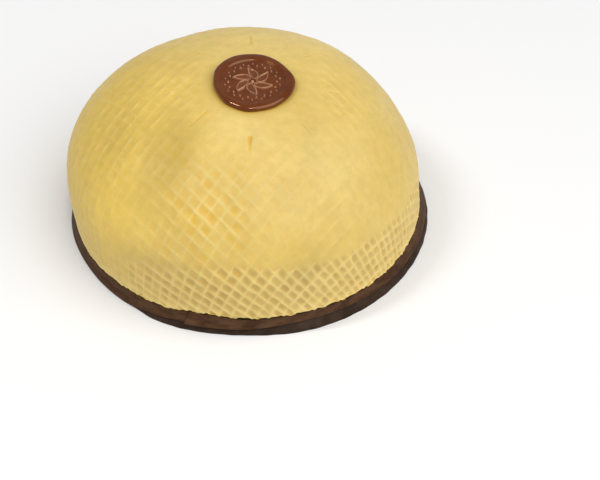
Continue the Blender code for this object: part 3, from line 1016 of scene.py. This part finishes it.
@dataclass
class MarzipanCover:
    """The cake in its marzipan cover, one closed piece from the crown to the floor."""

    dome: DomeForm
    band: BandForm
    seal: SealForm
    lattice: Lattice = Lattice()
    jitter: float = 0.00022
    jitter_length: float = 0.016
    lumps: float = 0.00016
    lump_lengths: tuple[float, float] = (0.06, 0.022)
    lip: float = 0.00045
    dents: tuple[Dent, ...] = portion_dents() + (
        Dent(-0.0260, -0.0235, -130, 0.0165, 0.0017, 0.0008),
        Dent(0.0570, -0.0175, -18, 0.0060, 0.0008, 0.0007),
        Dent(0.0190, -0.0480, 40, 0.0022, 0.0006, 0.0005),
        Dent(-0.0750, -0.0175, 25, 0.0025, 0.0007, 0.0006),
    )
    refine_margin: float = 1.5
    # Soft blots over the flat sheet. Each sinks a shallow fold (sink) and paints shade or light over it (strength):
    # painted shading for how the dome's undulations and sides face the lights.
    folds_and_painted_shading: tuple[Blot, ...] = (
        Blot(-0.047, -0.048, 0.040, 0.0155, 72, -0.17, 0.0006, 3.0),
        Blot(-0.056, 0.000, 0.018, 0.013, 35, 0.07),
        Blot(-0.082, -0.030, 0.032, 0.011, 80, -0.09, 0.0003),
        Blot(-0.070, -0.097, 0.034, 0.014, -38, 0.13, -0.0002),
        Blot(-0.014, -0.045, 0.024, 0.014, -110, 0.08),
        Blot(0.025, -0.083, 0.016, 0.013, 0, -0.06),
        Blot(-0.065, -0.119, 0.030, 0.009, -30, -0.12),
        Blot(0.046, -0.136, 0.014, 0.008, 30, -0.06),
        Blot(0.080, 0.060, 0.030, 0.016, 40, -0.06, 0.0003),
        Blot(0.020, 0.110, 0.040, 0.014, 0, 0.06),
        Blot(-0.060, 0.100, 0.036, 0.016, 130, -0.07, 0.0004),
        Blot(-0.091, -0.071, 0.030, 0.020, 60, 0.13),
        Blot(-0.034, -0.021, 0.018, 0.012, 45, 0.09),
        Blot(-0.028, -0.098, 0.014, 0.010, 0, 0.06),
        Blot(-0.032, 0.080, 0.032, 0.016, 0, 0.06),
        Blot(-0.003, -0.088, 0.014, 0.014, 0, -0.06),
        Blot(-0.045, -0.104, 0.014, 0.010, -30, -0.07),
        Blot(0.052, -0.124, 0.018, 0.010, 25, -0.08),
        Blot(-0.037, -0.066, 0.013, 0.009, 90, -0.08),
        Blot(0.039, -0.042, 0.036, 0.012, 90, -0.08, 0.0002),
        Blot(-0.019, -0.070, 0.012, 0.010, 0, -0.05),
        Blot(0.053, 0.049, 0.032, 0.022, 130, 0.09),
        Blot(-0.034, -0.0265, 0.004, 0.003, -130, 0.10, -0.0004),
    )
    # Deeper, less blue blots; the wide one on the left side is partly painted warm shade of that dimmer side.
    ochres: tuple[Blot, ...] = (
        Blot(-0.095, -0.040, 0.085, 0.062, 80, 0.75, edge_power=4.0),
        Blot(-0.040, -0.058, 0.030, 0.012, 72, 0.5),
        Blot(0.045, -0.120, 0.032, 0.014, 20, 0.6),
        Blot(0.105, -0.035, 0.026, 0.020, 0, 0.4),
        Blot(-0.090, 0.060, 0.040, 0.022, 120, 0.4),
        Blot(0.110, 0.070, 0.040, 0.030, 120, 0.5),
    )
    # Paler, less yellow blots: painted sheen of the white surround on the dome.
    painted_sheen_blots: tuple[Blot, ...] = (
        Blot(0.020, 0.060, 0.060, 0.040, 0, 0.55),
        Blot(-0.004, -0.042, 0.024, 0.016, -20, 0.45),
        Blot(0.060, -0.060, 0.040, 0.024, 60, 0.35),
        Blot(0.050, -0.140, 0.030, 0.024, 30, 0.35),
    )
    hem_pale: float = 0.010
    # Width of the painted contact shadow round the seal's foot.
    seal_shadow_width: float = 0.0028
    seal_gap: tuple[float, float] = (0.002, 0.012)
    dent_stain: float = 0.0009
    patch_centre: tuple[float, float] = (-0.020, -0.094)
    patch_spread: tuple[float, float] = (0.037, 0.032)
    sheet_limit: float = 0.178
    sheet_margin: float = 0.003

    def lay_grid(self) -> bpy.types.Object:
        """Add the grid whose rows and columns follow the lattice, in line numbers."""
        rows, columns = self.lattice.numbers(self.sheet_limit - self.sheet_margin)
        across, down = len(rows) - 1, len(columns) - 1
        piece = begin(
            "covered_torte",
            lambda: bpy.ops.mesh.primitive_grid_add(x_subdivisions=across, y_subdivisions=down, size=1),
        )
        places = points_of(piece)
        row = np.rint((places[:, 0] + 0.5) * across).astype(int)
        column = np.rint((places[:, 1] + 0.5) * down).astype(int)
        move_points(piece, np.stack([rows[row], columns[column], np.zeros(len(row))], axis=-1))
        return piece

    def refine_dents(self, piece: bpy.types.Object) -> None:
        """Subdivide the grid where a dent is pressed in."""
        numbers = points_of(piece)[:, :2]
        plan, _ = self.lattice.sheet_points(numbers, self.sheet_limit)
        near = np.zeros(len(plan), dtype=bool)
        for dent in self.dents:
            share, aside = dent.place(plan)
            near |= (share > -0.12) & (share < 1.1) & (aside < dent.half_width * self.refine_margin + 0.0004)
        chosen = [bool(near[list(polygon.vertices)].any()) for polygon in piece.data.polygons]
        bpy.ops.object.mode_set(mode="EDIT")
        bpy.ops.mesh.select_mode(type="FACE")
        bpy.ops.mesh.select_all(action="DESELECT")
        bpy.ops.object.mode_set(mode="OBJECT")
        piece.data.polygons.foreach_set("select", chosen)
        bpy.ops.object.mode_set(mode="EDIT")
        bpy.ops.mesh.subdivide(number_cuts=2, ngon=False)
        bpy.ops.mesh.select_mode(type="VERT")
        bpy.ops.object.mode_set(mode="OBJECT")

    def cut_at_hem(self, piece: bpy.types.Object) -> None:
        """Lay the grid out as the flat sheet and cut it along the hem."""
        plan, found = self.lattice.sheet_points(points_of(piece)[:, :2], self.sheet_limit)
        plan = plan + self.stray(plan)
        move_points(piece, np.column_stack([plan, np.zeros(len(plan))]))
        over = self.past_hem(plan)
        over[~found] = 1.0
        mesh = bmesh.new()
        mesh.from_mesh(piece.data)
        mesh.verts.ensure_lookup_table()
        pulls: dict[int, tuple[float, Vector]] = {}
        for edge in mesh.edges:
            first, second = edge.verts
            if (over[first.index] > 0) == (over[second.index] > 0):
                continue
            share = over[first.index] / (over[first.index] - over[second.index])
            moved, way = (first, share) if share < 0.5 else (second, 1 - share)
            place = first.co.lerp(second.co, share)
            if moved.index not in pulls or way < pulls[moved.index][0]:
                pulls[moved.index] = (way, place)
        side = np.sign(over)
        for index, (_, place) in pulls.items():
            azimuth = math.atan2(place.y, place.x)
            reach = float(self.dome.rim_reach(np.array([azimuth]))[0])
            mesh.verts[index].co = (reach * math.cos(azimuth), reach * math.sin(azimuth), 0)
            side[index] = 0
        for face in list(mesh.faces):
            marks = [side[vertex.index] for vertex in face.verts]
            zeros = [vertex for vertex in face.verts if side[vertex.index] == 0]
            if 1 in marks and -1 in marks and len(zeros) == 2:
                bmesh.utils.face_split(face, zeros[0], zeros[1])
            elif marks.count(0) == len(marks):
                mesh.faces.remove(face)
        bmesh.ops.delete(mesh, geom=[vertex for vertex in mesh.verts if side[vertex.index] > 0], context="VERTS")
        bmesh.ops.delete(mesh, geom=[vertex for vertex in mesh.verts if not vertex.link_faces], context="VERTS")
        mesh.to_mesh(piece.data)
        mesh.free()

    def stray(self, plan: Array) -> Array:
        """How far the pressed lines stray from their even course."""
        return self.jitter * np.stack([SoftNoise(seed, self.jitter_length).at(plan) for seed in (7, 8)], axis=-1)

    def past_hem(self, plan: Array) -> Array:
        """How far points of the flat sheet lie past the hem."""
        return np.hypot(plan[:, 0], plan[:, 1]) - self.dome.rim_reach(np.arctan2(plan[:, 1], plan[:, 0]))

    def drape(self, piece: bpy.types.Object) -> None:
        """Lay the flat sheet over the dome with its relief, and keep what the finish needs."""
        place = points_of(piece)[:, :2]
        plan = place - self.stray(place)
        gap, ease = self.seal_gap
        fade = smoothstep((self.seal.past_edge(place) - gap) / ease)
        pressed = self.lattice.press(plan, -self.past_hem(place), fade)
        dents = sum(dent.depth * dent.at(place) for dent in self.dents)
        long, short = self.lump_lengths
        lumps = self.lumps * (SoftNoise(3, long).at(place) + 0.4 * SoftNoise(4, short).at(place))
        folds = sum(blot.sink * blot.at(place) for blot in self.folds_and_painted_shading)
        move_points(piece, self.dome.surface(place, pressed.sink + dents + lumps + folds))
        write_layer(piece, "azimuth", np.arctan2(place[:, 1], place[:, 0]))
        self.tint(piece, place, pressed, dents)

    def tint(self, piece: bpy.types.Object, place: Array, pressed: Pressing, dents: Array) -> None:
        """Keep what the finish needs to know at each point of the cover, painted light, shade and sheen among it.

        Args:
            piece: the cover.
            place: its points on the flat sheet.
            pressed: what the lattice leaves there.
            dents: depth of the dents there.
        """
        above_hem, past_seal = -self.past_hem(place), self.seal.past_edge(place)
        (middle_x, middle_y), (wide, tall) = self.patch_centre, self.patch_spread
        patch = bell(place[:, 0] - middle_x, wide) * bell(place[:, 1] - middle_y, tall)
        blobs = 0.65 + 0.35 * pressed.cell
        # Painted contact shadow of the seal: a brownish ring just outside its edge, laid in with the blush colour.
        seal_shadow = 0.8 * smoothstep(1 - past_seal / self.seal_shadow_width)
        pale_hem = smoothstep(1 - above_hem / self.hem_pale)
        # Painted light and shade: the blots, lighter over the hem's pattern and along the hem, and a painted shadow
        # round the seal's foot.
        painted_shading_and_tone = 1 + sum(blot.strength * blot.at(place) for blot in self.folds_and_painted_shading) + 0.06 * pressed.hem + 0.08 * pale_hem
        write_layer(piece, "painted_shading_and_tone", painted_shading_and_tone - 0.12 * smoothstep(1 - past_seal / (3 * self.seal_shadow_width)))
        write_layer(piece, "ochre", np.clip(sum(blot.strength * blot.at(place) for blot in self.ochres), 0, 1))
        # Painted sheen in soft blots, and the paler edge along the hem.
        painted_sheen_and_pale_hem = sum(blot.strength * blot.at(place) for blot in self.painted_sheen_blots) + 0.6 * pale_hem
        write_layer(piece, "painted_sheen_and_pale_hem", np.clip(painted_sheen_and_pale_hem, 0, 1))
        write_layer(piece, "line", np.clip(pressed.crest * (0.45 + 0.4 * np.maximum(patch, pressed.hem)), 0, 1))
        orange = pressed.pit * (0.15 + 1.2 * patch * blobs)
        write_layer(piece, "blush_and_seal_shadow", np.clip(orange + dents / self.dent_stain + seal_shadow, 0, 1))
        # Painted shade in the pits of the hem's pattern, where their pressed walls shade them.
        painted_pit_shade = pressed.pit * pressed.hem * (1.0 + 0.2 * pressed.cell) * (1 - 0.4 * pale_hem)
        write_layer(piece, "painted_pit_shade", np.clip(painted_pit_shade, 0, 1))

    def close_base(self, piece: bpy.types.Object) -> None:
        """Turn the hem under, bring the cake's wall down to the floor and close the floor."""
        dome, band, floor = self.dome, self.band, np.zeros(1)

        def under_hem(azimuth: Array) -> Array:
            """The inner edge of the turned hem."""
            height = dome.rim_height(azimuth) - self.lip
            return dome.polar(azimuth, band.wall(height), height)

        steps: tuple[Callable[[Array], Array], ...] = (
            lambda azimuth: dome.polar(azimuth, dome.hem_radius - 0.2 * self.lip, self.edge_height(azimuth, 0.5)),
            lambda azimuth: dome.polar(azimuth, dome.hem_radius - self.lip, self.edge_height(azimuth, 1.0)),
            under_hem,
            lambda azimuth: dome.polar(azimuth, band.wall(floor), floor),
            lambda azimuth: dome.polar(azimuth, band.wall(floor) * 2 / 3, floor),
        )
        for step in steps:
            self.extrude_rim(piece, step)
        bpy.ops.object.mode_set(mode="EDIT")
        bpy.ops.mesh.edge_face_add()
        bpy.ops.object.mode_set(mode="OBJECT")

    def edge_height(self, azimuth: Array, share: float) -> Array:
        """Height of the rounded edge of the cover, a share of the lip below the ragged hem."""
        rag = self.dome.rim_reach(azimuth) - np.interp(azimuth, self.dome.azimuths, self.dome.hem_reaches)
        return self.dome.rim_height(azimuth) - rag - self.lip * share

    def extrude_rim(self, piece: bpy.types.Object, place: Callable[[Array], Array]) -> None:
        """Extrude the open rim and put each new vertex where its azimuth says."""
        bpy.ops.object.mode_set(mode="EDIT")
        bpy.ops.mesh.select_mode(type="EDGE")
        bpy.ops.mesh.select_all(action="DESELECT")
        bpy.ops.mesh.select_non_manifold(
            extend=False, use_wire=False, use_multi_face=False, use_non_contiguous=False, use_verts=False
        )
        bpy.ops.mesh.extrude_edges_move()
        bpy.ops.mesh.select_mode(type="VERT")
        bpy.ops.object.mode_set(mode="OBJECT")
        chosen = np.zeros(len(piece.data.vertices), dtype=bool)
        piece.data.vertices.foreach_get("select", chosen)
        points = points_of(piece)
        points[chosen] = place(read_layer(piece, "azimuth")[chosen])
        move_points(piece, points)

    def build(self) -> bpy.types.Object:
        """Build the covered cake.

        Returns:
            The finished piece, not yet dressed.
        """
        piece = self.lay_grid()
        self.refine_dents(piece)
        self.cut_at_hem(piece)
        self.drape(piece)
        self.close_base(piece)
        return piece

    def dress(self, piece: bpy.types.Object, material: bpy.types.Material) -> None:
        """Shade the piece, give it its finish and tell the frame what it stands for."""
        finish_piece(piece, material, 60)
        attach(piece, "root")
        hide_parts("torte_body")


# ---------------------------------------------------------------------------------------------
# The chocolate foot and ribbon
# ---------------------------------------------------------------------------------------------


@dataclass
class FootRing:
    """The dark chocolate foot, which bulges out where the ribbon leaves it bare."""

    dome: DomeForm
    band: BandForm
    steps: int = 360
    bare_height: float = 0.003
    round_from: float = 0.35
    tuck: float = 0.0003
    tuck_height: float = 0.0006
    outer_levels: tuple[tuple[float, float], ...] = (
        (0.0, 0.0), (0.0004, 0.10), (0.0011, 0.40), (0.0017, 0.65), (0.0022, 0.84), (0.0026, 0.95), (0.0029, 1.05),
    )  # fmt: skip

    def outer(self, azimuth: Array, height: Array) -> Array:
        """Place on the foot's outer face."""
        edge = self.band.ribbon_edge.at(azimuth)
        bare = smoothstep(edge / self.bare_height)
        reach = height / np.maximum(edge, 1e-4)
        past = np.clip((reach - self.round_from) / (1 - self.round_from), 0, 1)
        round_off = np.sqrt(np.clip(1 - past**2, 0, 1))
        inset = self.band.ribbon_thickness + self.band.clearance
        rough = 0.00010 * np.sin(41 * azimuth) + 0.00008 * np.sin(67 * azimuth + 40 * height)
        tuck = self.tuck * smoothstep((self.tuck_height - height) / self.tuck_height)
        radius = self.band.face(azimuth, height) - inset * (1 - bare * round_off) + (rough - tuck) * bare
        return self.dome.polar(azimuth, radius, height)

    def build(self) -> bpy.types.Object:
        """Build the foot ring.

        Returns:
            The closed ring.
        """
        levels = len(self.outer_levels)
        outline = [(0.112, 0.0003 * index) for index in range(levels + 1)] + [(0.110, 0.008), (0.110, 0.0)]
        piece = spin_outline("foot_ring", outline, self.steps, True)
        points, row = points_of(piece), np.rint(read_layer(piece, "row")).astype(int)
        azimuth = np.arctan2(points[:, 1], points[:, 0])
        edge = self.band.ribbon_edge.at(azimuth)
        top = self.band.top(azimuth) - self.band.foot_drop
        for index, (least, share) in enumerate(self.outer_levels):
            rows = row == index
            points[rows] = self.outer(azimuth[rows], np.maximum(least, share * edge[rows]))
        rows = row == levels
        points[rows] = self.outer(azimuth[rows], top[rows])
        rows = row == levels + 1
        inner = self.band.wall(top) + self.band.clearance
        points[rows] = self.dome.polar(azimuth[rows], inner[rows], top[rows])
        rows = row == levels + 2
        floor = np.zeros(rows.sum())
        points[rows] = self.dome.polar(azimuth[rows], self.band.wall(floor) + self.band.clearance, floor)
        move_points(piece, points)
        write_layer(piece, "painted_crest_highlight", np.zeros(len(points)))
        return piece

    def dress(self, piece: bpy.types.Object, material: bpy.types.Material) -> None:
        """Shade the ring, give it its finish and tell the frame what it stands for."""
        finish_piece(piece, material, 50)
        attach(piece, "root")
        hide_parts("band_foot")


@dataclass
class RibbonWrap:
    """The chocolate ribbon round the foot: it starts under its own free end, which is cut aslant."""

    dome: DomeForm
    band: BandForm
    steps: int = 420
    end: float = math.radians(-107.5)
    overlap: float = math.radians(12)
    ease: float = math.radians(34)
    slant: float = math.radians(2.2)
    curl: float = 0.0006
    curl_stretch: float = math.radians(7)
    lip: float = 0.0003
    section: tuple[tuple[float, float, float, float], ...] = (
        (0.0, 0.0, 0.0, 1.0), (0.0, 0.5, 0.0, 0.3), (0.0, 1.0, 0.0, 0.0), (0.45, 1.015, 0.0, 0.0),
        (0.85, 1.0, 0.0, 0.0), (1.0, 0.93, 0.0, 0.0), (1.0, 0.68, 0.0, 0.1), (1.0, 0.45, 0.0, 0.3),
        (1.0, 0.26, 0.4, 0.6), (1.0, 0.12, 1.0, 1.0), (0.93, 0.035, 1.1, 1.0), (0.75, 0.0, 1.0, 1.0),
        (0.35, -0.01, 0.5, 1.0),
    )  # fmt: skip

    def place(self, index: Array, past: Array) -> Array:
        """Places of the ribbon's points.

        Args:
            index: place in the section.
            past: angle past the free end.

        Returns:
            Places in space, one to a row.
        """
        outward, up, lip, curl = np.array(self.section)[index].T
        azimuth = self.end + past
        edge = self.band.ribbon_edge.at(azimuth)
        rag = 0.00012 * np.sin(53 * azimuth) + 0.0001 * np.sin(89 * azimuth + 1)
        height = edge + (self.band.top(azimuth) + rag - edge) * up
        fresh = self.band.ribbon_thickness + self.band.clearance
        climb = fresh * (1 - smoothstep((past - self.overlap) / self.ease))
        free = 1 - smoothstep(past / self.curl_stretch)
        radius = self.band.face(azimuth, height) + climb + self.band.ribbon_thickness * (outward - 1)
        radius = radius + self.lip * lip + self.curl * curl * free
        return self.dome.polar(azimuth - self.slant * (1 - up) * free, radius, height)

    def build(self) -> bpy.types.Object:
        """Build the ribbon.

        Returns:
            The closed ribbon.
        """
        count = len(self.section)
        piece = begin(
            "ribbon_wrap", lambda: bpy.ops.mesh.primitive_circle_add(vertices=count, radius=0.002, fill_type="NOTHING")
        )
        move_points(piece, points_of(piece)[:, [0, 2, 1]] + np.array([0.11, 0.0, 0.005]))
        sweep = math.tau + self.overlap

        def spin() -> None:
            """Carry the section round the cake."""
            bpy.ops.mesh.spin(steps=self.steps, angle=sweep, use_auto_merge=False, center=(0, 0, 0), axis=(0, 0, 1))

        in_edit_mode(piece, spin)
        number = np.arange(len(piece.data.vertices))
        turn = np.arctan2(points_of(piece)[:, 1], points_of(piece)[:, 0])
        past = number // count * sweep / self.steps
        if np.abs(np.cos(turn) - np.cos(past)).max() > 1e-3:
            raise ValueError("the ribbon's stations are out of order")
        move_points(piece, self.place(number % count, past))
        self.cap_ends(piece)
        write_layer(piece, "painted_crest_highlight", np.zeros(len(number)))
        return piece

    def cap_ends(self, piece: bpy.types.Object) -> None:
        """Close the two cut ends."""
        count, total = len(self.section), len(piece.data.vertices)
        for first in (0, total - count):
            for part in (piece.data.vertices, piece.data.edges, piece.data.polygons):
                part.foreach_set("select", [False] * len(part))
            for index in range(first, first + count):
                piece.data.vertices[index].select = True
            bpy.ops.object.mode_set(mode="EDIT")
            bpy.ops.mesh.select_mode(type="VERT")
            bpy.ops.mesh.edge_face_add()
            bpy.ops.object.mode_set(mode="OBJECT")

    def dress(self, piece: bpy.types.Object, material: bpy.types.Material) -> None:
        """Shade the ribbon, give it its finish and tell the frame what it stands for."""
        finish_piece(piece, material, 45)
        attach(piece, "root")
        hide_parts("band_ribbon")


# ---------------------------------------------------------------------------------------------
# The poured seal
# ---------------------------------------------------------------------------------------------


@dataclass
class PouredSeal:
    """The poured chocolate seal on the crown: an uneven rim, a pressed field, a rosette and beads."""

    dome: DomeForm
    form: SealForm
    thickness: float = 0.0038
    tilt: float = math.radians(2)
    steps: int = 384
    foot: float = 0.94
    clearance: float = 0.0003
    rim: tuple[tuple[float, float], ...] = (
        (0.960, -0.0036), (0.986, -0.0032), (1.000, -0.0026), (1.004, -0.0020), (1.000, -0.0015), (0.990, -0.0010),
        (0.974, -0.0006), (0.950, -0.0003), (0.920, -0.00008), (0.885, 0.0), (0.850, 0.0), (0.820, -0.00006),
        (0.802, -0.0002), (0.790, -0.0004), (0.782, -0.0007), (0.775, -0.00098), (0.766, -0.0011),
    )  # fmt: skip
    round_share: float = 0.80
    field_depth: float = -0.00112
    field_rings: int = 84
    field_edge: float = 0.75
    petals: int = 6
    petal_from: float = 0.0022
    petal_to: float = 0.0128
    petal_half_width: float = 0.0026
    petal_twist: float = 60.0
    line_half_width: float = 0.00105
    petal_body: float = 0.25
    petal_body_edge: float = 0.0006
    button_radius: float = 0.0016
    relief: float = 0.00095
    beads: tuple[tuple[int, float, float], ...] = ((18, 0.0148, 0.0012), (18, 0.0168, 0.0009))

    def reach(self, turn: Array, share: Array) -> Array:
        """Distance from the seal's middle: round inside, following the uneven outline at the rim."""
        uneven = smoothstep((share - self.round_share) / (1 - self.round_share))
        return share * (self.form.radius + (self.form.edge(turn) - self.form.radius) * uneven)

    def ornament(self, turn: Array, reach: Array) -> Array:
        """Height of the curling petals and the beads, from 0 to 1."""
        sector = math.tau / self.petals
        curled = turn - self.petal_twist * reach
        local = (curled + sector / 2) % sector - sector / 2
        along, aside = reach * np.cos(local), np.abs(reach * np.sin(local))
        share = np.clip((along - self.petal_from) / (self.petal_to - self.petal_from), 0, 1)
        outline = self.petal_half_width * np.sin(math.pi * share**0.8)
        within = (along > self.petal_from) & (along < self.petal_to)
        drawn = smoothstep(1 - np.abs(aside - outline) / self.line_half_width) * within
        body = self.petal_body * smoothstep((outline - aside) / self.petal_body_edge) * within
        button = smoothstep(1.2 - reach / self.button_radius)
        total = np.maximum.reduce([drawn, body, button])
        for index, (count, away, size) in enumerate(self.beads):
            spacing = math.tau / count
            shift = spacing / 2 * index
            nearest = (turn + shift + spacing / 2) % spacing - spacing / 2
            distance = np.hypot(away * nearest, reach - away)
            total = np.maximum(total, smoothstep(1 - distance / size))
        return total

    def top_face(self, turn: Array, share: Array, height: Array) -> Array:
        """Places on the seal above the plane of its rim."""
        reach = self.reach(turn, share)
        x = self.form.centre[0] + reach * np.cos(turn)
        y = self.form.centre[1] + reach * np.sin(turn)
        top = self.dome.crown_height + self.thickness + math.tan(self.tilt) * (y - self.form.centre[1])
        return np.stack([x + self.dome.crown_lean, y, top + height], axis=-1)

    def under_face(self, turn: Array, share: Array) -> Array:
        """Places on the seal's underside, just off the crown."""
        reach = self.reach(turn, share)
        middle_x, middle_y = self.form.centre
        plan = np.stack([middle_x + reach * np.cos(turn), middle_y + reach * np.sin(turn)], axis=-1)
        return self.dome.surface(plan, np.zeros(len(plan))) + np.array([0, 0, self.clearance])

    def build(self) -> bpy.types.Object:
        """Build the seal.

        Returns:
            The closed seal.
        """
        under = [(share, 0.0) for share in (0.0, 0.3, 0.6, 0.85, self.foot)]
        middle = [(share, self.field_depth) for share in np.linspace(self.field_edge, 0.0, self.field_rings)]
        levels = np.array([*under, *self.rim, *middle])
        outline = [(0.02 * share, 0.1 + 0.0001 * number) for number, share in enumerate(levels[:, 0])]
        piece = spin_outline("poured_seal", outline, self.steps, False)
        points, row = points_of(piece), np.rint(read_layer(piece, "row")).astype(int)
        turn = np.arctan2(points[:, 1], points[:, 0])
        shares, heights = levels[row].T
        below = row < len(under)
        in_field = row >= len(under) + len(self.rim)
        ornament = np.where(in_field, self.ornament(turn, shares * self.form.radius), 0.0)
        heights = heights + self.relief * ornament
        places = self.top_face(turn, shares, heights)
        places[below] = self.under_face(turn[below], shares[below])
        move_points(piece, places)
        # Painted highlight along the crests of the ornament.
        write_layer(piece, "painted_crest_highlight", 0.8 * ornament**2)
        write_layer(piece, "gloss", smoothstep((row - len(under)) / 4.0))
        return piece

    def dress(self, piece: bpy.types.Object, material: bpy.types.Material) -> None:
        """Shade the seal, give it its finish and tell the frame what it stands for."""
        finish_piece(piece, material, 60)
        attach(piece, "root")
        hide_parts("crown_seal")


# ---------------------------------------------------------------------------------------------
# Studio
# ---------------------------------------------------------------------------------------------


@dataclass(frozen=True)
class SoftBox:
    """A rectangular soft light, aimed at the cake."""

    name: str
    place: tuple[float, float, float]
    size: tuple[float, float]
    power: float
    aim: tuple[float, float, float] = (0.0, 0.0, 0.05)

    def build(self) -> None:
        """Hang the light."""
        bpy.ops.object.select_all(action="DESELECT")
        way = Vector(self.aim) - Vector(self.place)
        bpy.ops.object.light_add(type="AREA", location=self.place, rotation=way.to_track_quat("-Z", "Y").to_euler())
        light = bpy.context.object
        light.name = self.name
        light.data.shape = "RECTANGLE"
        light.data.size, light.data.size_y = self.size
        light.data.energy = self.power


@dataclass(frozen=True)
class Studio:
    """Camera, soft lights, a pale floor and an even white surround."""

    camera_place: tuple[float, float, float] = (0.0321, -1.2005, 1.0579)
    camera_pitch: float = math.radians(48)
    lens: float = 151.08
    sensor: float = 36.0
    surround: float = 0.34
    floor_size: float = 6.0
    floor_colour: Colour = (0.93, 0.93, 0.93)
    floor_roughness: float = 0.8
    lights: tuple[SoftBox, ...] = (
        SoftBox("key_right", (0.95, -0.75, 1.75), (2.4, 2.4), 33.5),
        SoftBox("over_left", (-0.85, -0.10, 1.55), (0.08, 0.50), 7.5),
        SoftBox("spark_front", (0.04, -0.84, 1.60), (0.14, 0.08), 3.0),
    )

    def build(self) -> None:
        """Set up the studio."""
        self.add_camera()
        self.add_floor()
        self.add_surround()
        for light in self.lights:
            light.build()
        bpy.context.scene.view_settings.view_transform = "Standard"

    def add_camera(self) -> None:
        """Put the camera at the picture's viewpoint."""
        bpy.ops.object.select_all(action="DESELECT")
        bpy.ops.object.camera_add(location=self.camera_place, rotation=(self.camera_pitch, 0, 0))
        camera = bpy.context.object
        camera.name = "picture_camera"
        camera.data.sensor_width = self.sensor
        camera.data.lens = self.lens
        camera.data.clip_start, camera.data.clip_end = 0.05, 30.0
        bpy.context.scene.camera = camera

    def add_floor(self) -> None:
        """Lay a plain pale floor."""
        floor = begin("floor", lambda: bpy.ops.mesh.primitive_plane_add(size=self.floor_size))
        material, _, shader = start_material("pale_floor")
        shader.inputs["Base Color"].default_value = (*self.floor_colour, 1)
        shader.inputs["Roughness"].default_value = self.floor_roughness
        floor.data.materials.append(material)

    def add_surround(self) -> None:
        """Light the scene evenly from all round."""
        world = bpy.data.worlds.new("white_surround")
        bpy.context.scene.world = world
        world.use_nodes = True
        background = world.node_tree.nodes["Background"]
        background.inputs["Color"].default_value = (1, 1, 1, 1)
        background.inputs["Strength"].default_value = self.surround


# ---------------------------------------------------------------------------------------------
# Assembly
# ---------------------------------------------------------------------------------------------


def main() -> None:
    """Build the studio and every piece in order."""
    Studio().build()
    groups = EffectGroups.build()
    dome = DomeForm()
    band = BandForm(dome)
    marzipan = MarzipanFinish().build(groups)
    dark = ChocolateFinish(
        "dark_foot", (0.028, 0.015, 0.009), (0.050, 0.030, 0.019), (0.10, 0.060, 0.038), 0.50, 0.0, 0.25, 0.10
    ).build(groups)
    ribbon = ChocolateFinish(
        "satin_ribbon", (0.056, 0.026, 0.013), (0.098, 0.049, 0.025), (0.17, 0.095, 0.055), 0.52, 0.0, 0.3, 0.05,
        stretch=(1.0, 1.0, 3.0),
    ).build(groups)  # fmt: skip
    poured = ChocolateFinish(
        "poured_chocolate", (0.094, 0.016, 0.001), (0.136, 0.026, 0.002), (0.50, 0.26, 0.14), 0.12, 0.10, 0.05, 1.0,
        bloom_amount=0.06, specular_tint=(1.0, 0.60, 0.34),
    ).build(groups)  # fmt: skip
    seal = SealForm()
    for builder, material in (
        (MarzipanCover(dome, band, seal), marzipan),
        (FootRing(dome, band), dark),
        (RibbonWrap(dome, band), ribbon),
        (PouredSeal(dome, seal), poured),
    ):
        piece = builder.build()
        builder.dress(piece, material)
        LOG.info("%s: %d vertices, %d faces", piece.name, len(piece.data.vertices), len(piece.data.polygons))


if __name__ == "__main__":
    main()
